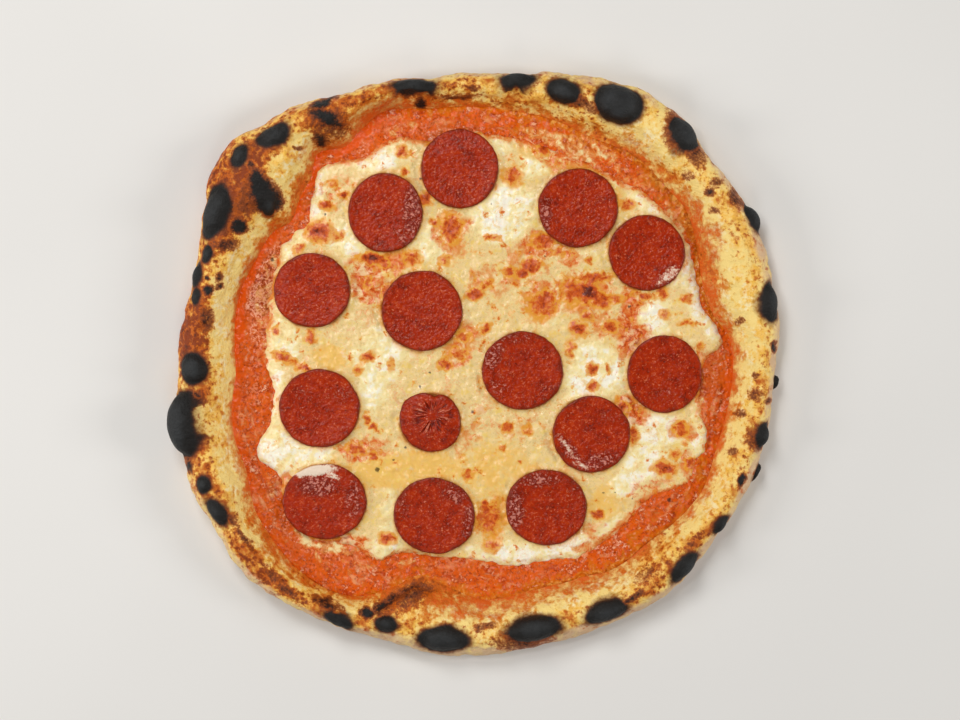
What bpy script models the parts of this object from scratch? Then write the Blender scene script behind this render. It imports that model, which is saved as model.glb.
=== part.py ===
"""A whole wood-fired pepperoni pizza, as it comes out of the oven.

The dough is one solid: a thin round base with a puffed rim, and charred blisters fused to the rim. On it lie a
layer of tomato sauce, a layer of melted mozzarella and fourteen pieces of pepperoni, each a solid of its own.

Sizes are in millimetres, and MM turns them to metres. Places are (x, y) from the middle of the pizza, with +Y
towards its far side. The pizza rests on Z = 0.
"""

import bpy
import numpy as np
from mathutils import Matrix, Vector, noise

MM = 0.001

# Heights and thicknesses
BASE_THICKNESS = 3.2
SAUCE_THICKNESS = 1.2
CHEESE_THICKNESS = 2.0
CHEESE_EDGE_THICKNESS = 0.7
CHEESE_RELIEF = 0.35
SLICE_THICKNESS = 1.9
SLICE_CURL = 0.7
GAP = 0.3

# How finely each form is turned
CRUST_STEPS = 120
SAUCE_STEPS = 72
CHEESE_STEPS = 84
SLICE_STEPS = 24
BLISTER_SEGMENTS = 12
BLISTER_RINGS = 8

# The rim's lumps: their size across, and how far they push the surface. They fade out over LUMP_FADE_ACROSS and
# LUMP_FADE_UP of the cross-section, so that the base and the underside stay flat.
LUMP_ACROSS = 26.0
LUMP_PUSH = 1.8
LUMP_FADE_ACROSS = 0.2
LUMP_FADE_UP = 0.3

# The cheese is uneven by CHEESE_RELIEF in bumps CHEESE_BUMP_ACROSS wide, and thins over this share of its radius
CHEESE_BUMP_ACROSS = 24.0
CHEESE_THINNING = 0.07
CHEESE_NOISE_LEVEL = 7.0

# The rim's outer edge, all the way round from the right-hand side
OUTLINE = [
    (160, 0), (160.5, 18), (158.5, 40), (154.5, 60), (148, 75), (138.5, 90), (128, 105), (118, 118),
    (108, 130.5), (91, 144), (70, 149.5), (50, 153.5), (38, 154.5), (28, 153), (5, 154), (-12, 153),
    (-22, 150.5), (-42, 150), (-65, 145), (-85, 139.5), (-97, 135), (-110, 126.5), (-124, 119.5),
    (-131, 114), (-141, 98), (-142, 85), (-146, 62), (-151, 38), (-156.5, 10), (-158.5, -17), (-155, -45),
    (-151, -65), (-140, -84.5), (-130, -101), (-110, -121), (-80, -137), (-50, -147), (-20, -153.7),
    (10, -153.3), (40, -148.5), (70, -139), (97, -126), (118, -105), (137, -79), (149, -57), (155.5, -32),
]

# Where the rim's inner slope meets the flat base, and the sauce ends
RIM_FOOT = [
    (136, 0), (134, 14), (126, 25), (121, 40), (118, 55), (116, 68), (112, 80), (100, 93), (85, 107),
    (62, 117), (42, 127), (20, 132.5), (0, 135), (-25, 134), (-47, 133), (-60, 123), (-68, 114),
    (-83, 110), (-86, 98), (-92, 87), (-97, 75), (-107, 69), (-117, 53), (-125, 35), (-127, 12),
    (-126, -5), (-128, -22), (-127, -38), (-120, -58), (-115.5, -78), (-105, -95), (-88, -113), (-64, -123),
    (-44, -118), (-29, -111), (-14, -117), (4, -124), (30, -119), (55, -112), (74, -107), (90, -94),
    (112, -77), (121, -64), (127, -44), (133, -24),
]

# The edge of the melted cheese. Under a slice that reaches past it, the cheese goes on to the slice's edge.
CHEESE_EDGE = [
    (122, 0), (131, 12), (121, 31), (117, 47), (112, 66), (103, 78), (90, 90), (73, 99), (55, 108),
    (38, 114), (14, 121), (-8, 122), (-26, 118), (-41, 120), (-62, 108), (-81, 104), (-87, 88), (-89, 75),
    (-102, 62), (-107, 45), (-110, 25), (-111, 5), (-107, -17), (-110, -34), (-116, -47), (-104, -60),
    (-100, -78), (-88, -93), (-68, -96), (-50, -105), (-38, -101), (-20, -103), (3, -105), (22, -108),
    (42, -104), (55, -103), (70, -94), (84, -81), (95, -70), (113, -64), (117, -53), (124, -40), (119, -24),
]

# The rim's height above the floor, by angle in degrees from +X
RIM_HEIGHT = [
    (0, 19), (25, 22), (45, 20), (70, 18), (95, 16.5), (120, 21), (148, 23), (180, 19), (200, 20),
    (225, 18), (255, 17), (280, 19), (310, 18), (335, 18),
]

# How the rim's inner slope rises: under 1 it stands up steeply from the sauce, over 1 it climbs gently
RIM_RISE = [
    (0, 0.9), (25, 0.55), (50, 1.1), (75, 1.2), (100, 1.2), (130, 0.8), (145, 0.6), (180, 0.75), (210, 0.9),
    (240, 1.1), (257, 0.8), (285, 1.15), (320, 1.1),
]

# The dough's cross-section before it is pulled to its outline. Across, 1 is the rim's foot and 2 its outer edge.
# Upwards, FLAT is the base's top and 1 the rim's crest.
FLAT = 0.15
UPPER_SECTION = [
    (0, FLAT), (0.5, FLAT), (0.85, FLAT), (1, FLAT), (1.1, 0.29), (1.22, 0.52), (1.36, 0.78), (1.5, 0.94),
    (1.64, 1), (1.77, 0.95), (1.88, 0.83), (1.96, 0.66), (2, 0.46),
]
UNDER_SECTION = [(1.98, 0.25), (1.91, 0.08), (1.8, 0), (1.2, 0), (0, 0)]
CREST = 1.64

# Charred blisters on the rim: place, half length, half width, how far each stands out of the dough, and the
# angle of its length from +X in degrees
BLISTERS = [
    ((-137, 79), 14, 8, 4.5, 70),
    ((-105.7, 119.8), 9, 5.3, 2.5, 25),
    ((-123.5, 108.5), 6.2, 4.2, 2, 75),
    ((-107, 82), 7, 5.5, 2, 125),
    ((-140.5, 57.5), 4.6, 2.9, 1.3, 80),
    ((-146.5, 46), 6, 4, 2, 80),
    ((-146.5, 35), 4.2, 2.8, 1.2, 80),
    ((-148.5, -3), 8, 7, 3, 90),
    ((-154, -32.5), 17, 10, 8.5, 92),
    ((-143, -64), 4.5, 4, 2, 90),
    ((-136, -78.5), 7.2, 4.5, 2.2, 125),
    ((-72, -136), 7.5, 4, 1.8, 145),
    ((-47, -137.5), 5.5, 4.2, 2, 170),
    ((-17, -146), 13, 7, 3.5, 0),
    ((31, -140), 14, 6.5, 3.5, 8),
    ((69, -131), 11, 5.5, 3, 18),
    ((110.5, -108), 9.5, 5.5, 3, 45),
    ((130, -85.5), 5.5, 3.5, 1.8, 60),
    ((150.5, -58.5), 6, 3, 2.2, 65),
    ((151.5, -38), 6.5, 5, 3.5, 80),
    ((160, -10), 3.4, 2.8, 1.8, 90),
    ((155.5, 32), 10, 6, 3.5, 85),
    ((146, 77), 8, 6, 3.5, 110),
    ((110.5, 121), 10, 8, 4, 115),
    ((75.5, 137), 12.5, 10, 4, 160),
    ((47, 143), 8.5, 6, 3, 160),
    ((22.5, 149.5), 9.5, 5, 3, 0),
    ((-32, 146), 11, 5, 2.5, 5),
]

# Slices of pepperoni: place, width, length and the angle of the width from +X in degrees
SLICES = [
    ((-8.2, 103), 40.5, 41.5, 0),
    ((-47.5, 79.7), 39, 41.5, 0),
    ((54.7, 82.3), 42, 41, 20),
    ((91, 58.4), 40, 39.5, 0),
    ((-86.5, 38.5), 40, 39, 0),
    ((-28.2, 27.7), 42.5, 42, 0),
    ((25.2, -4), 42.5, 41, 0),
    ((100.5, -6), 39, 40.5, 0),
    ((-82.5, -24), 42, 41, 0),
    ((61.7, -37.8), 40.5, 40, 0),
    ((-79.8, -73.5), 44, 39.5, 0),
    ((-21.5, -81), 43, 39.5, -12),
    ((37.8, -76.5), 42.5, 39.5, 0),
]
END_PIECE = ((-23.7, -31.3), 32.5, 31, 0)
END_PIECE_THICKNESS = 3.4

# A slice's cross-section: across, 1 is its edge, and upwards, 1 is its top. Its edges are rounded.
SLICE_SECTION = [(0, 1), (0.5, 1), (0.86, 1), (0.97, 0.88), (1, 0.5), (0.97, 0.12), (0.86, 0), (0.5, 0), (0, 0)]

SAUCE_LEVEL = BASE_THICKNESS + GAP
CHEESE_LEVEL = SAUCE_LEVEL + SAUCE_THICKNESS + GAP


def clear_scene():
    for obj in list(bpy.data.objects):
        bpy.data.objects.remove(obj, do_unlink=True)


def new_collection(name):
    collection = bpy.data.collections.new(name)
    bpy.context.scene.collection.children.link(collection)
    return collection


def new_material(name, colour, roughness):
    material = bpy.data.materials.new(name)
    material.use_nodes = True
    shader = material.node_tree.nodes["Principled BSDF"]
    shader.inputs["Base Color"].default_value = (*colour, 1)
    shader.inputs["Roughness"].default_value = roughness
    shader.inputs["Metallic"].default_value = 0
    return material


def ring(angles, values):
    """A smooth closed curve of value against angle, through the given points."""
    order = np.argsort(angles)
    angles, values = np.array(angles, float)[order], np.array(values, float)[order]
    turn = 2 * np.pi
    a = np.concatenate([angles[-2:] - turn, angles, angles[:2] + turn])
    v = np.concatenate([values[-2:], values, values[:2]])
    slope = (v[2:] - v[:-2]) / (a[2:] - a[:-2])

    def at(angle):
        wrapped = np.mod(angle - angles[0], turn) + angles[0]
        i = np.clip(np.searchsorted(a, wrapped, side="right") - 1, 1, len(a) - 3)
        span = a[i + 1] - a[i]
        t = (wrapped - a[i]) / span
        start, end = slope[i - 1] * span, slope[i] * span
        rise = v[i + 1] - v[i]
        return v[i] + t * (start + t * (3 * rise - 2 * start - end + t * (start + end - 2 * rise)))

    return at


def ring_through(points):
    """The ring through (x, y) points, as radius against angle."""
    x, y = np.array(points, float).T
    return ring(np.mod(np.arctan2(y, x), 2 * np.pi), np.hypot(x, y))


def ring_by_degrees(pairs):
    degrees, values = np.array(pairs, float).T
    return ring(np.radians(degrees), values)


outer_radius = ring_through(OUTLINE)
foot_radius = ring_through(RIM_FOOT)
cheese_radius = ring_through(CHEESE_EDGE)
rim_height = ring_by_degrees(RIM_HEIGHT)
rim_rise = ring_by_degrees(RIM_RISE)


def lumps(x, y, z):
    """Smooth bumps between -1 and 1, about LUMP_ACROSS wide."""
    return np.array([noise.noise(Vector(p) / LUMP_ACROSS) for p in zip(x, y, z)])


def dough_height(across, up, angle):
    """Millimetres above the floor of a point of the cross-section, at that angle round the pizza."""
    share = np.clip((up - FLAT) / (1 - FLAT), 0, 1)
    share = np.where(across < CREST, share ** rim_rise(angle), share)
    low = BASE_THICKNESS * np.clip(up / FLAT, 0, 1)
    return low + share * (rim_height(angle) - BASE_THICKNESS)


def dough_radius(across, angle):
    foot = foot_radius(angle)
    return np.where(across <= 1, across * foot, foot + (across - 1) * (outer_radius(angle) - foot))


def rim_top(x, y):
    """Height of the dough's upper side at a place on the rim."""
    angle = np.arctan2(y, x)
    foot = foot_radius(angle)
    across = 1 + (np.hypot(x, y) - foot) / (outer_radius(angle) - foot)
    up = np.interp(across, [p[0] for p in UPPER_SECTION], [p[1] for p in UPPER_SECTION])
    return float(dough_height(across, up, angle))


def rim_normal(x, y, step=3.0, most_slope=1.6):
    """Which way the rim's surface faces at (x, y), leaning no further than most_slope."""
    slope = Vector((rim_top(x - step, y) - rim_top(x + step, y), rim_top(x, y - step) - rim_top(x, y + step)))
    slope /= 2 * step
    if slope.length > most_slope:
        slope *= most_slope / slope.length
    return Vector((slope.x, slope.y, 1)).normalized()


def cheese_top(x, y):
    """Height of the cheese's upper side: gently uneven, and thinner towards its edge."""
    inside = 1 - np.hypot(x, y) / cheese_radius(np.arctan2(y, x))
    full = np.clip(inside / CHEESE_THINNING, 0, 1)
    places = [Vector((a, b, CHEESE_NOISE_LEVEL)) for a, b in zip(x, y)]
    relief = CHEESE_RELIEF * np.array([noise.noise(place / CHEESE_BUMP_ACROSS) for place in places])
    return CHEESE_LEVEL + CHEESE_EDGE_THICKNESS + full * (CHEESE_THICKNESS - CHEESE_EDGE_THICKNESS + relief)


def turned(name, section, steps, collection):
    """The section turned about Z with the Screw modifier, as a mesh with no modifier left."""
    profile = bpy.data.meshes.new(name)
    profile.from_pydata([(r, 0, z) for r, z in section], [(i, i + 1) for i in range(len(section) - 1)], [])
    obj = bpy.data.objects.new(name, profile)
    collection.objects.link(obj)
    screw = obj.modifiers.new("Turn", "SCREW")
    screw.steps = screw.render_steps = steps
    screw.use_merge_vertices = True
    screw.merge_threshold = 0.0001
    apply_modifiers(obj)
    return obj


def apply_modifiers(obj):
    bpy.context.view_layer.update()
    evaluated = obj.evaluated_get(bpy.context.evaluated_depsgraph_get())
    obj.data = bpy.data.meshes.new_from_object(evaluated)
    obj.modifiers.clear()


def reshape(obj, place):
    """Moves every vertex to place(x, y, z), which takes the turned coordinates and gives millimetres."""
    mesh = obj.data
    points = np.empty(len(mesh.vertices) * 3)
    mesh.vertices.foreach_get("co", points)
    moved = np.stack(place(*points.reshape(-1, 3).T), axis=1) * MM
    mesh.vertices.foreach_set("co", moved.ravel())
    mesh.update()


def finish(obj, material, sharp_degrees=50):
    obj.data.materials.clear()
    obj.data.materials.append(material)
    obj.data.shade_smooth()
    obj.data.set_sharp_from_angle(angle=np.radians(sharp_degrees))


def make_crust(collection, material):
    """The dough, baked in one piece: base, rim and the blisters that swelled out of it."""

    def place(x, y, z):
        angle, across = np.arctan2(y, x), np.hypot(x, y)
        radius, height = dough_radius(across, angle), dough_height(across, z, angle)
        x, y = radius * np.cos(angle), radius * np.sin(angle)
        on_rim = np.clip((across - 1) / LUMP_FADE_ACROSS, 0, 1) * np.clip(z / LUMP_FADE_UP, 0, 1)
        push = LUMP_PUSH * on_rim * lumps(x, y, height)
        outwards = np.clip((across - CREST) / (2 - CREST), 0, 1)
        away = 1 + push * outwards / np.maximum(radius, 1)
        return x * away, y * away, height + push * (1 - outwards)

    crust = turned("crust", UPPER_SECTION + UNDER_SECTION, CRUST_STEPS, collection)
    reshape(crust, place)
    blisters = new_collection("blisters to fuse")
    for centre, half_length, half_width, stand_out, degrees in BLISTERS:
        make_blister(blisters, centre, half_length, half_width, stand_out, degrees)
    union = crust.modifiers.new("Fuse blisters", "BOOLEAN")
    union.operation = "UNION"
    union.operand_type = "COLLECTION"
    union.collection = blisters
    union.solver = "MANIFOLD"
    apply_modifiers(crust)
    for blister in list(blisters.objects):
        bpy.data.objects.remove(blister, do_unlink=True)
    bpy.data.collections.remove(blisters)
    finish(crust, material)


def make_blister(collection, centre, half_length, half_width, stand_out, degrees):
    """An egg-shaped bubble, half sunk in the rim and facing out of it."""
    bpy.ops.mesh.primitive_uv_sphere_add(segments=BLISTER_SEGMENTS, ring_count=BLISTER_RINGS, radius=1)
    blister = bpy.context.active_object
    for old in blister.users_collection:
        old.objects.unlink(blister)
    collection.objects.link(blister)
    depth = 0.55 * half_width
    normal = rim_normal(*centre)
    surface = Vector((*centre, rim_top(*centre)))
    facing = normal.to_track_quat("Z", "Y").to_matrix()
    along = Vector((np.cos(np.radians(degrees)), np.sin(np.radians(degrees)), 0))
    along = (along - normal * along.dot(normal)).normalized()
    facing = Matrix((along, normal.cross(along), normal)).transposed()
    size = Matrix.Diagonal((half_length, half_width, depth + stand_out)).to_4x4()
    middle = Matrix.Translation((surface - normal * depth) * MM)
    blister.data.transform(middle @ facing.to_4x4() @ Matrix.Scale(MM, 4) @ size)


def make_sauce(collection, material):
    """Crushed tomato, spread over the base as far as the rim's foot."""
    section = [(0, 1), (0.45, 1), (0.8, 1), (0.93, 1), (0.985, 0.5), (0.985, 0), (0, 0)]

    def place(x, y, z):
        angle = np.arctan2(y, x)
        radius = np.hypot(x, y) * foot_radius(angle)
        return radius * np.cos(angle), radius * np.sin(angle), SAUCE_LEVEL + z * SAUCE_THICKNESS

    sauce = turned("tomato_sauce", section, SAUCE_STEPS, collection)
    reshape(sauce, place)
    finish(sauce, material)


def make_cheese(collection, material):
    """Mozzarella that has melted into one sheet with a wandering edge."""
    section = [(0, 1), (0.2, 1), (0.38, 1), (0.54, 1), (0.68, 1), (0.8, 1), (0.93, 1), (1, 1), (1, 0), (0, 0)]

    def place(x, y, z):
        angle = np.arctan2(y, x)
        radius = np.hypot(x, y) * cheese_radius(angle)
        x, y = radius * np.cos(angle), radius * np.sin(angle)
        return x, y, np.where(z > 0.5, cheese_top(x, y), CHEESE_LEVEL)

    cheese = turned("melted_mozzarella", section, CHEESE_STEPS, collection)
    reshape(cheese, place)
    finish(cheese, material)


def make_pepperoni(name, piece, thickness, curl, collection, material):
    """A slice that has sagged onto the cheese, with its edge curled up a little."""
    (middle_x, middle_y), width, length, degrees = piece
    turn = np.radians(degrees)

    def place(x, y, z):
        across = np.hypot(x, y)
        along, over = x * width / 2, y * length / 2
        x = middle_x + along * np.cos(turn) - over * np.sin(turn)
        y = middle_y + along * np.sin(turn) + over * np.cos(turn)
        resting = cheese_top(x, y) + GAP + curl * across**3
        return x, y, resting + z * thickness

    pepperoni = turned(name, SLICE_SECTION, SLICE_STEPS, collection)
    reshape(pepperoni, place)
    finish(pepperoni, material)


def main():
    clear_scene()
    pizza = new_collection("pepperoni pizza")
    make_crust(pizza, new_material("baked dough", (0.72, 0.42, 0.16), 0.75))
    make_sauce(pizza, new_material("tomato sauce", (0.58, 0.09, 0.02), 0.35))
    make_cheese(pizza, new_material("melted mozzarella", (0.88, 0.72, 0.4), 0.4))
    pepperoni = new_material("pepperoni", (0.34, 0.04, 0.02), 0.4)
    for number, slice_place in enumerate(SLICES, start=1):
        name = f"pepperoni_slice_{number:02d}"
        make_pepperoni(name, slice_place, SLICE_THICKNESS, SLICE_CURL, pizza, pepperoni)
    make_pepperoni("pepperoni_end_piece", END_PIECE, END_PIECE_THICKNESS, 0, pizza, pepperoni)


main()
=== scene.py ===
"""A wood-fired pepperoni pizza straight out of the oven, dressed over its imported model.

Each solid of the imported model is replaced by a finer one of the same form, with its relief and its browning.
Sizes are in millimetres unless a name says otherwise, and MM turns them to metres. Places are (x, y) from the
middle of the pizza, with +Y towards its far side.
"""

import bpy
import numpy as np
from bpy.props import FloatProperty, FloatVectorProperty, IntProperty, PointerProperty
from bpy.types import Operator, Panel, PropertyGroup
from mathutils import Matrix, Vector, noise


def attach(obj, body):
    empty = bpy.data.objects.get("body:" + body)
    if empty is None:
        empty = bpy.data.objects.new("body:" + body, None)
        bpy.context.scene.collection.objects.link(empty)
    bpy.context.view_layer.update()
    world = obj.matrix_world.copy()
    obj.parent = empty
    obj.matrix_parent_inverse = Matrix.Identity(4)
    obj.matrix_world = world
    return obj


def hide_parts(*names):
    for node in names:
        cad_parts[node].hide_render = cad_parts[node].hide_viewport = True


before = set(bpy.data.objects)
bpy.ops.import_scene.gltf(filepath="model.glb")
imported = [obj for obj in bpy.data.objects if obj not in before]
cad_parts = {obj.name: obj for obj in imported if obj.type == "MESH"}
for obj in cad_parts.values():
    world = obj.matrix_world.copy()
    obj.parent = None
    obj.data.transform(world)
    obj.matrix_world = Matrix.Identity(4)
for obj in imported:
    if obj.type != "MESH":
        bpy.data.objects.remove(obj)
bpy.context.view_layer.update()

bl_info = {
    "name": "Wood-fired Pepperoni Pizza",
    "version": (1, 0, 0),
    "blender": (4, 5, 0),
    "location": "View3D > Sidebar > Pizza",
    "description": "Bakes the crust, sauce, cheese and pepperoni of a pizza over its packed model",
    "category": "Add Mesh",
}

MM = 0.001
BODY = "root"

# Heights and thicknesses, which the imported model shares
BASE_THICKNESS = 3.2
SAUCE_THICKNESS = 1.2
CHEESE_THICKNESS = 2.0
CHEESE_EDGE_THICKNESS = 0.7
CHEESE_RELIEF = 0.35
CHEESE_BUMP_ACROSS = 24.0
CHEESE_THINNING = 0.07
CHEESE_NOISE_LEVEL = 7.0
SLICE_THICKNESS = 1.9
SLICE_CURL = 0.7
END_PIECE_THICKNESS = 3.4
GAP = 0.3
SAUCE_LEVEL = BASE_THICKNESS + GAP
SAUCE_TOP = SAUCE_LEVEL + SAUCE_THICKNESS
CHEESE_LEVEL = SAUCE_TOP + GAP

# The rim's lumps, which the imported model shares
LUMP_ACROSS = 26.0
LUMP_PUSH = 1.8
LUMP_FADE_ACROSS = 0.2
LUMP_FADE_UP = 0.3

# How far across the features of each relief are
RIM_BUMP_ACROSS = 9.0
CRACKLE_ACROSS = 2.4
CREASE_ACROSS = 17.0
PUFF_ACROSS = 30.0
BLISTER_BUMP_ACROSS = 10.0
TOMATO_PULP_ACROSS = 4.2
TOMATO_LUMP_ACROSS = 11.0
CHEESE_LUMP_ACROSS = 7.5
CHEESE_CURD_ACROSS = 3.0
MEAT_GRAIN_ACROSS = 1.8
WRINKLE_ACROSS = 2.6

# A crease between puffs lies where its noise is within about this of 0
CREASE_WIDTH = 0.18

# The sauce climbs this share of the rim's width up its slope
SAUCE_CLIMB = 0.08

# The noise that streaks the sauce along the rim: how many grains it has in a radian, and how far across
# each of them is outwards
STREAKS_IN_RADIAN = 12
STREAK_ACROSS = 2.4

# The cheese's rings of points are counted on this radius
CHEESE_REACH = 120

# How far from a slice the cheese reaches that has crept up its side
CREEP_ACROSS = 1.6

# A slice's top goes out to this share of its radius, and its last two rings are at these shares of the
# thickness. From there the side goes down by (share of the radius, share of the thickness). SLICE_SINKS is
# how far the slice has sunk into the cheese.
SLICE_TOP = 0.985
SLICE_ROUNDING = (0.99, 0.95)
SLICE_SIDE = [(1.0, 0.86), (1.012, 0.68), (1.01, 0.45), (0.99, 0.2), (0.95, 0.0), (0.5, 0.0)]
SLICE_NOISE_LEVEL = 31.0
SLICE_SINKS = 0.1

# How softly a blister rises out of the dough, and how wide its singed rim is
BLISTER_BLEND = 1.0
BURN_HALO = 4.0

# A mark fades out between these shares of its outline. OUTSIDE is the least depth of places beyond all marks.
FADE_FROM = 0.5
FADE_LIMIT = 1.5
OUTSIDE = -0.5

# Where the noises start that move places to and fro along X and along Y
WANDER_STARTS = (3.1, 11.7)

# The rim's outer edge, all the way round from the right-hand side
OUTLINE = [
    (160, 0), (160.5, 18), (158.5, 40), (154.5, 60), (148, 75), (138.5, 90), (128, 105), (118, 118),
    (108, 130.5), (91, 144), (70, 149.5), (50, 153.5), (38, 154.5), (28, 153), (5, 154), (-12, 153),
    (-22, 150.5), (-42, 150), (-65, 145), (-85, 139.5), (-97, 135), (-110, 126.5), (-124, 119.5),
    (-131, 114), (-141, 98), (-142, 85), (-146, 62), (-151, 38), (-156.5, 10), (-158.5, -17),
    (-155, -45), (-151, -65), (-140, -84.5), (-130, -101), (-110, -121), (-80, -137), (-50, -147),
    (-20, -153.7), (10, -153.3), (40, -148.5), (70, -139), (97, -126), (118, -105), (137, -79),
    (149, -57), (155.5, -32),
]

# Where the rim's inner slope meets the flat base, and the sauce ends
RIM_FOOT = [
    (136, 0), (134, 14), (126, 25), (121, 40), (118, 55), (116, 68), (112, 80), (100, 93), (85, 107),
    (62, 117), (42, 127), (20, 132.5), (0, 135), (-25, 134), (-47, 133), (-60, 123), (-68, 114),
    (-83, 110), (-86, 98), (-92, 87), (-97, 75), (-107, 69), (-117, 53), (-125, 35), (-127, 12),
    (-126, -5), (-128, -22), (-127, -38), (-120, -58), (-115.5, -78), (-105, -95), (-88, -113),
    (-64, -123), (-44, -118), (-29, -111), (-14, -117), (4, -124), (30, -119), (55, -112), (74, -107),
    (90, -94), (112, -77), (121, -64), (127, -44), (133, -24),
]

# The edge of the melted cheese
CHEESE_EDGE = [
    (122, 0), (131, 12), (121, 31), (117, 47), (112, 66), (103, 78), (90, 90), (73, 99), (55, 108),
    (38, 114), (14, 121), (-8, 122), (-26, 118), (-41, 120), (-62, 108), (-81, 104), (-87, 88),
    (-89, 75), (-102, 62), (-107, 45), (-110, 25), (-111, 5), (-107, -17), (-110, -34), (-116, -47),
    (-104, -60), (-100, -78), (-88, -93), (-68, -96), (-50, -105), (-38, -101), (-20, -103), (3, -105),
    (22, -108), (42, -104), (55, -103), (70, -94), (84, -81), (95, -70), (113, -64), (117, -53),
    (124, -40), (119, -24),
]

# Round the pizza, by angle in degrees from +X: the rim's height above the floor, and how its inner slope
# rises. Under 1 the slope stands up steeply from the sauce, and over 1 it climbs gently.
RIM_HEIGHT = [
    (0, 19), (25, 22), (45, 20), (70, 18), (95, 16.5), (120, 21), (148, 23), (180, 19), (200, 20),
    (225, 18), (255, 17), (280, 19), (310, 18), (335, 18),
]
RIM_RISE = [
    (0, 0.9), (25, 0.55), (50, 1.1), (75, 1.2), (100, 1.2), (130, 0.8), (145, 0.6), (180, 0.75),
    (210, 0.9), (240, 1.1), (257, 0.8), (285, 1.15), (320, 1.1),
]

# Round the pizza in the same way, from 0 to 1: how toasted the rim is on its crest and on its inner slope,
# how much dusting flour is left on its outer flank, and how far up the inner slope the sauce has stained it
TOAST_ON_CREST = [
    (0, 0.46), (20, 0.5), (45, 0.44), (60, 0.46), (75, 0.48), (90, 0.6), (100, 0.68), (112, 0.7),
    (125, 0.74), (140, 0.8), (155, 0.78), (165, 0.72), (180, 0.74), (195, 0.68), (210, 0.62),
    (225, 0.66), (240, 0.62), (250, 0.56), (262, 0.48), (280, 0.46), (300, 0.58), (315, 0.6),
    (330, 0.55), (345, 0.5),
]
TOAST_ON_SLOPE = [
    (0, 0.15), (25, 0.25), (42, 0.36), (60, 0.42), (80, 0.44), (95, 0.4), (110, 0.15), (125, 0.25),
    (140, 0.4), (160, 0.16), (180, 0.2), (200, 0.24), (215, 0.38), (230, 0.65), (245, 0.4), (258, 0.5),
    (275, 0.3), (300, 0.3), (315, 0.35), (330, 0.3),
]
FLOUR_ON_FLANK = [
    (0, 0.8), (35, 0.7), (55, 0.5), (75, 0.55), (90, 0.6), (105, 0.6), (120, 0.6), (135, 0.45),
    (150, 0.3), (180, 0.25), (197, 0.5), (215, 0.7), (240, 0.75), (270, 0.8), (300, 0.85), (330, 0.8),
]
SAUCE_STAIN = [
    (0, 0.2), (14, 0.2), (26, 0.34), (38, 0.26), (50, 0.2), (60, 0.22), (72, 0.22), (84, 0.2),
    (92, 0.3), (100, 0.5), (112, 0.62), (122, 0.32), (135, 0.15), (150, 0.1), (180, 0.08), (200, 0.12),
    (215, 0.25), (225, 0.3), (240, 0.2), (255, 0.45), (262, 0.5), (275, 0.35), (290, 0.28), (300, 0.26),
    (320, 0.2), (340, 0.2),
]

# The dough's cross-section before it is pulled to its outline. Across, 1 is the rim's foot and 2 its outer
# edge. Upwards, FLAT is the base's top and 1 the rim's crest. Its rows of points are spaced for a rim of
# RIM_ACROSS by RIM_UP.
FLAT = 0.15
UPPER_SECTION = [
    (0, FLAT), (0.5, FLAT), (0.85, FLAT), (1, FLAT), (1.1, 0.29), (1.22, 0.52), (1.36, 0.78),
    (1.5, 0.94), (1.64, 1), (1.77, 0.95), (1.88, 0.83), (1.96, 0.66), (2, 0.46),
]
UNDER_SECTION = [(1.98, 0.25), (1.91, 0.08), (1.8, 0), (1.2, 0), (0, 0)]
CREST = 1.64
RIM_ACROSS = 26.0
RIM_UP = 17.0

# Charred blisters on the rim: place, half length, half width, how far each stands out of the dough, and the
# angle of its length from +X in degrees
BLISTERS = [
    ((-137, 79), 14, 8, 4.5, 70), ((-105.7, 119.8), 9, 5.3, 2.5, 25),
    ((-123.5, 108.5), 6.2, 4.2, 2, 75), ((-108.6, 82.5), 5.6, 3.8, 1.6, 100),
    ((-140.5, 57.5), 4.6, 2.9, 1.3, 80), ((-146.5, 46), 6, 4, 2, 80), ((-146.5, 35), 4.2, 2.8, 1.2, 80),
    ((-148.5, -3), 8, 7, 3, 90), ((-154, -32.5), 17, 10, 8.5, 92), ((-143, -64), 4.5, 4, 2, 90),
    ((-136, -78.5), 7.2, 4.5, 2.2, 125), ((-72, -136), 7.5, 4, 1.8, 145),
    ((-47, -137.5), 5.5, 4.2, 2, 170), ((-17, -146), 13, 7, 3.5, 0), ((31, -140), 14, 6.5, 3.5, 8),
    ((69, -131), 11, 5.5, 3, 18), ((110.5, -108), 9.5, 5.5, 3, 45), ((130, -85.5), 5.5, 3.5, 1.8, 60),
    ((150.5, -58.5), 6, 3, 2.2, 65), ((151.5, -38), 6.5, 5, 3.5, 80), ((160, -10), 3.4, 2.8, 1.8, 90),
    ((155.5, 32), 10, 6, 3.5, 85), ((146, 77), 8, 6, 3.5, 110), ((110.5, 121), 10, 8, 4, 115),
    ((75.5, 137), 12.5, 10, 4, 160), ((47, 143), 8.5, 6, 3, 160), ((22.5, 149.5), 9.5, 5, 3, 0),
    ((-32, 146), 11, 5, 2.5, 5),
]

# From here on a mark is (x, y, half length, half width, angle of its length in degrees, strength from 0 to 1)

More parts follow.
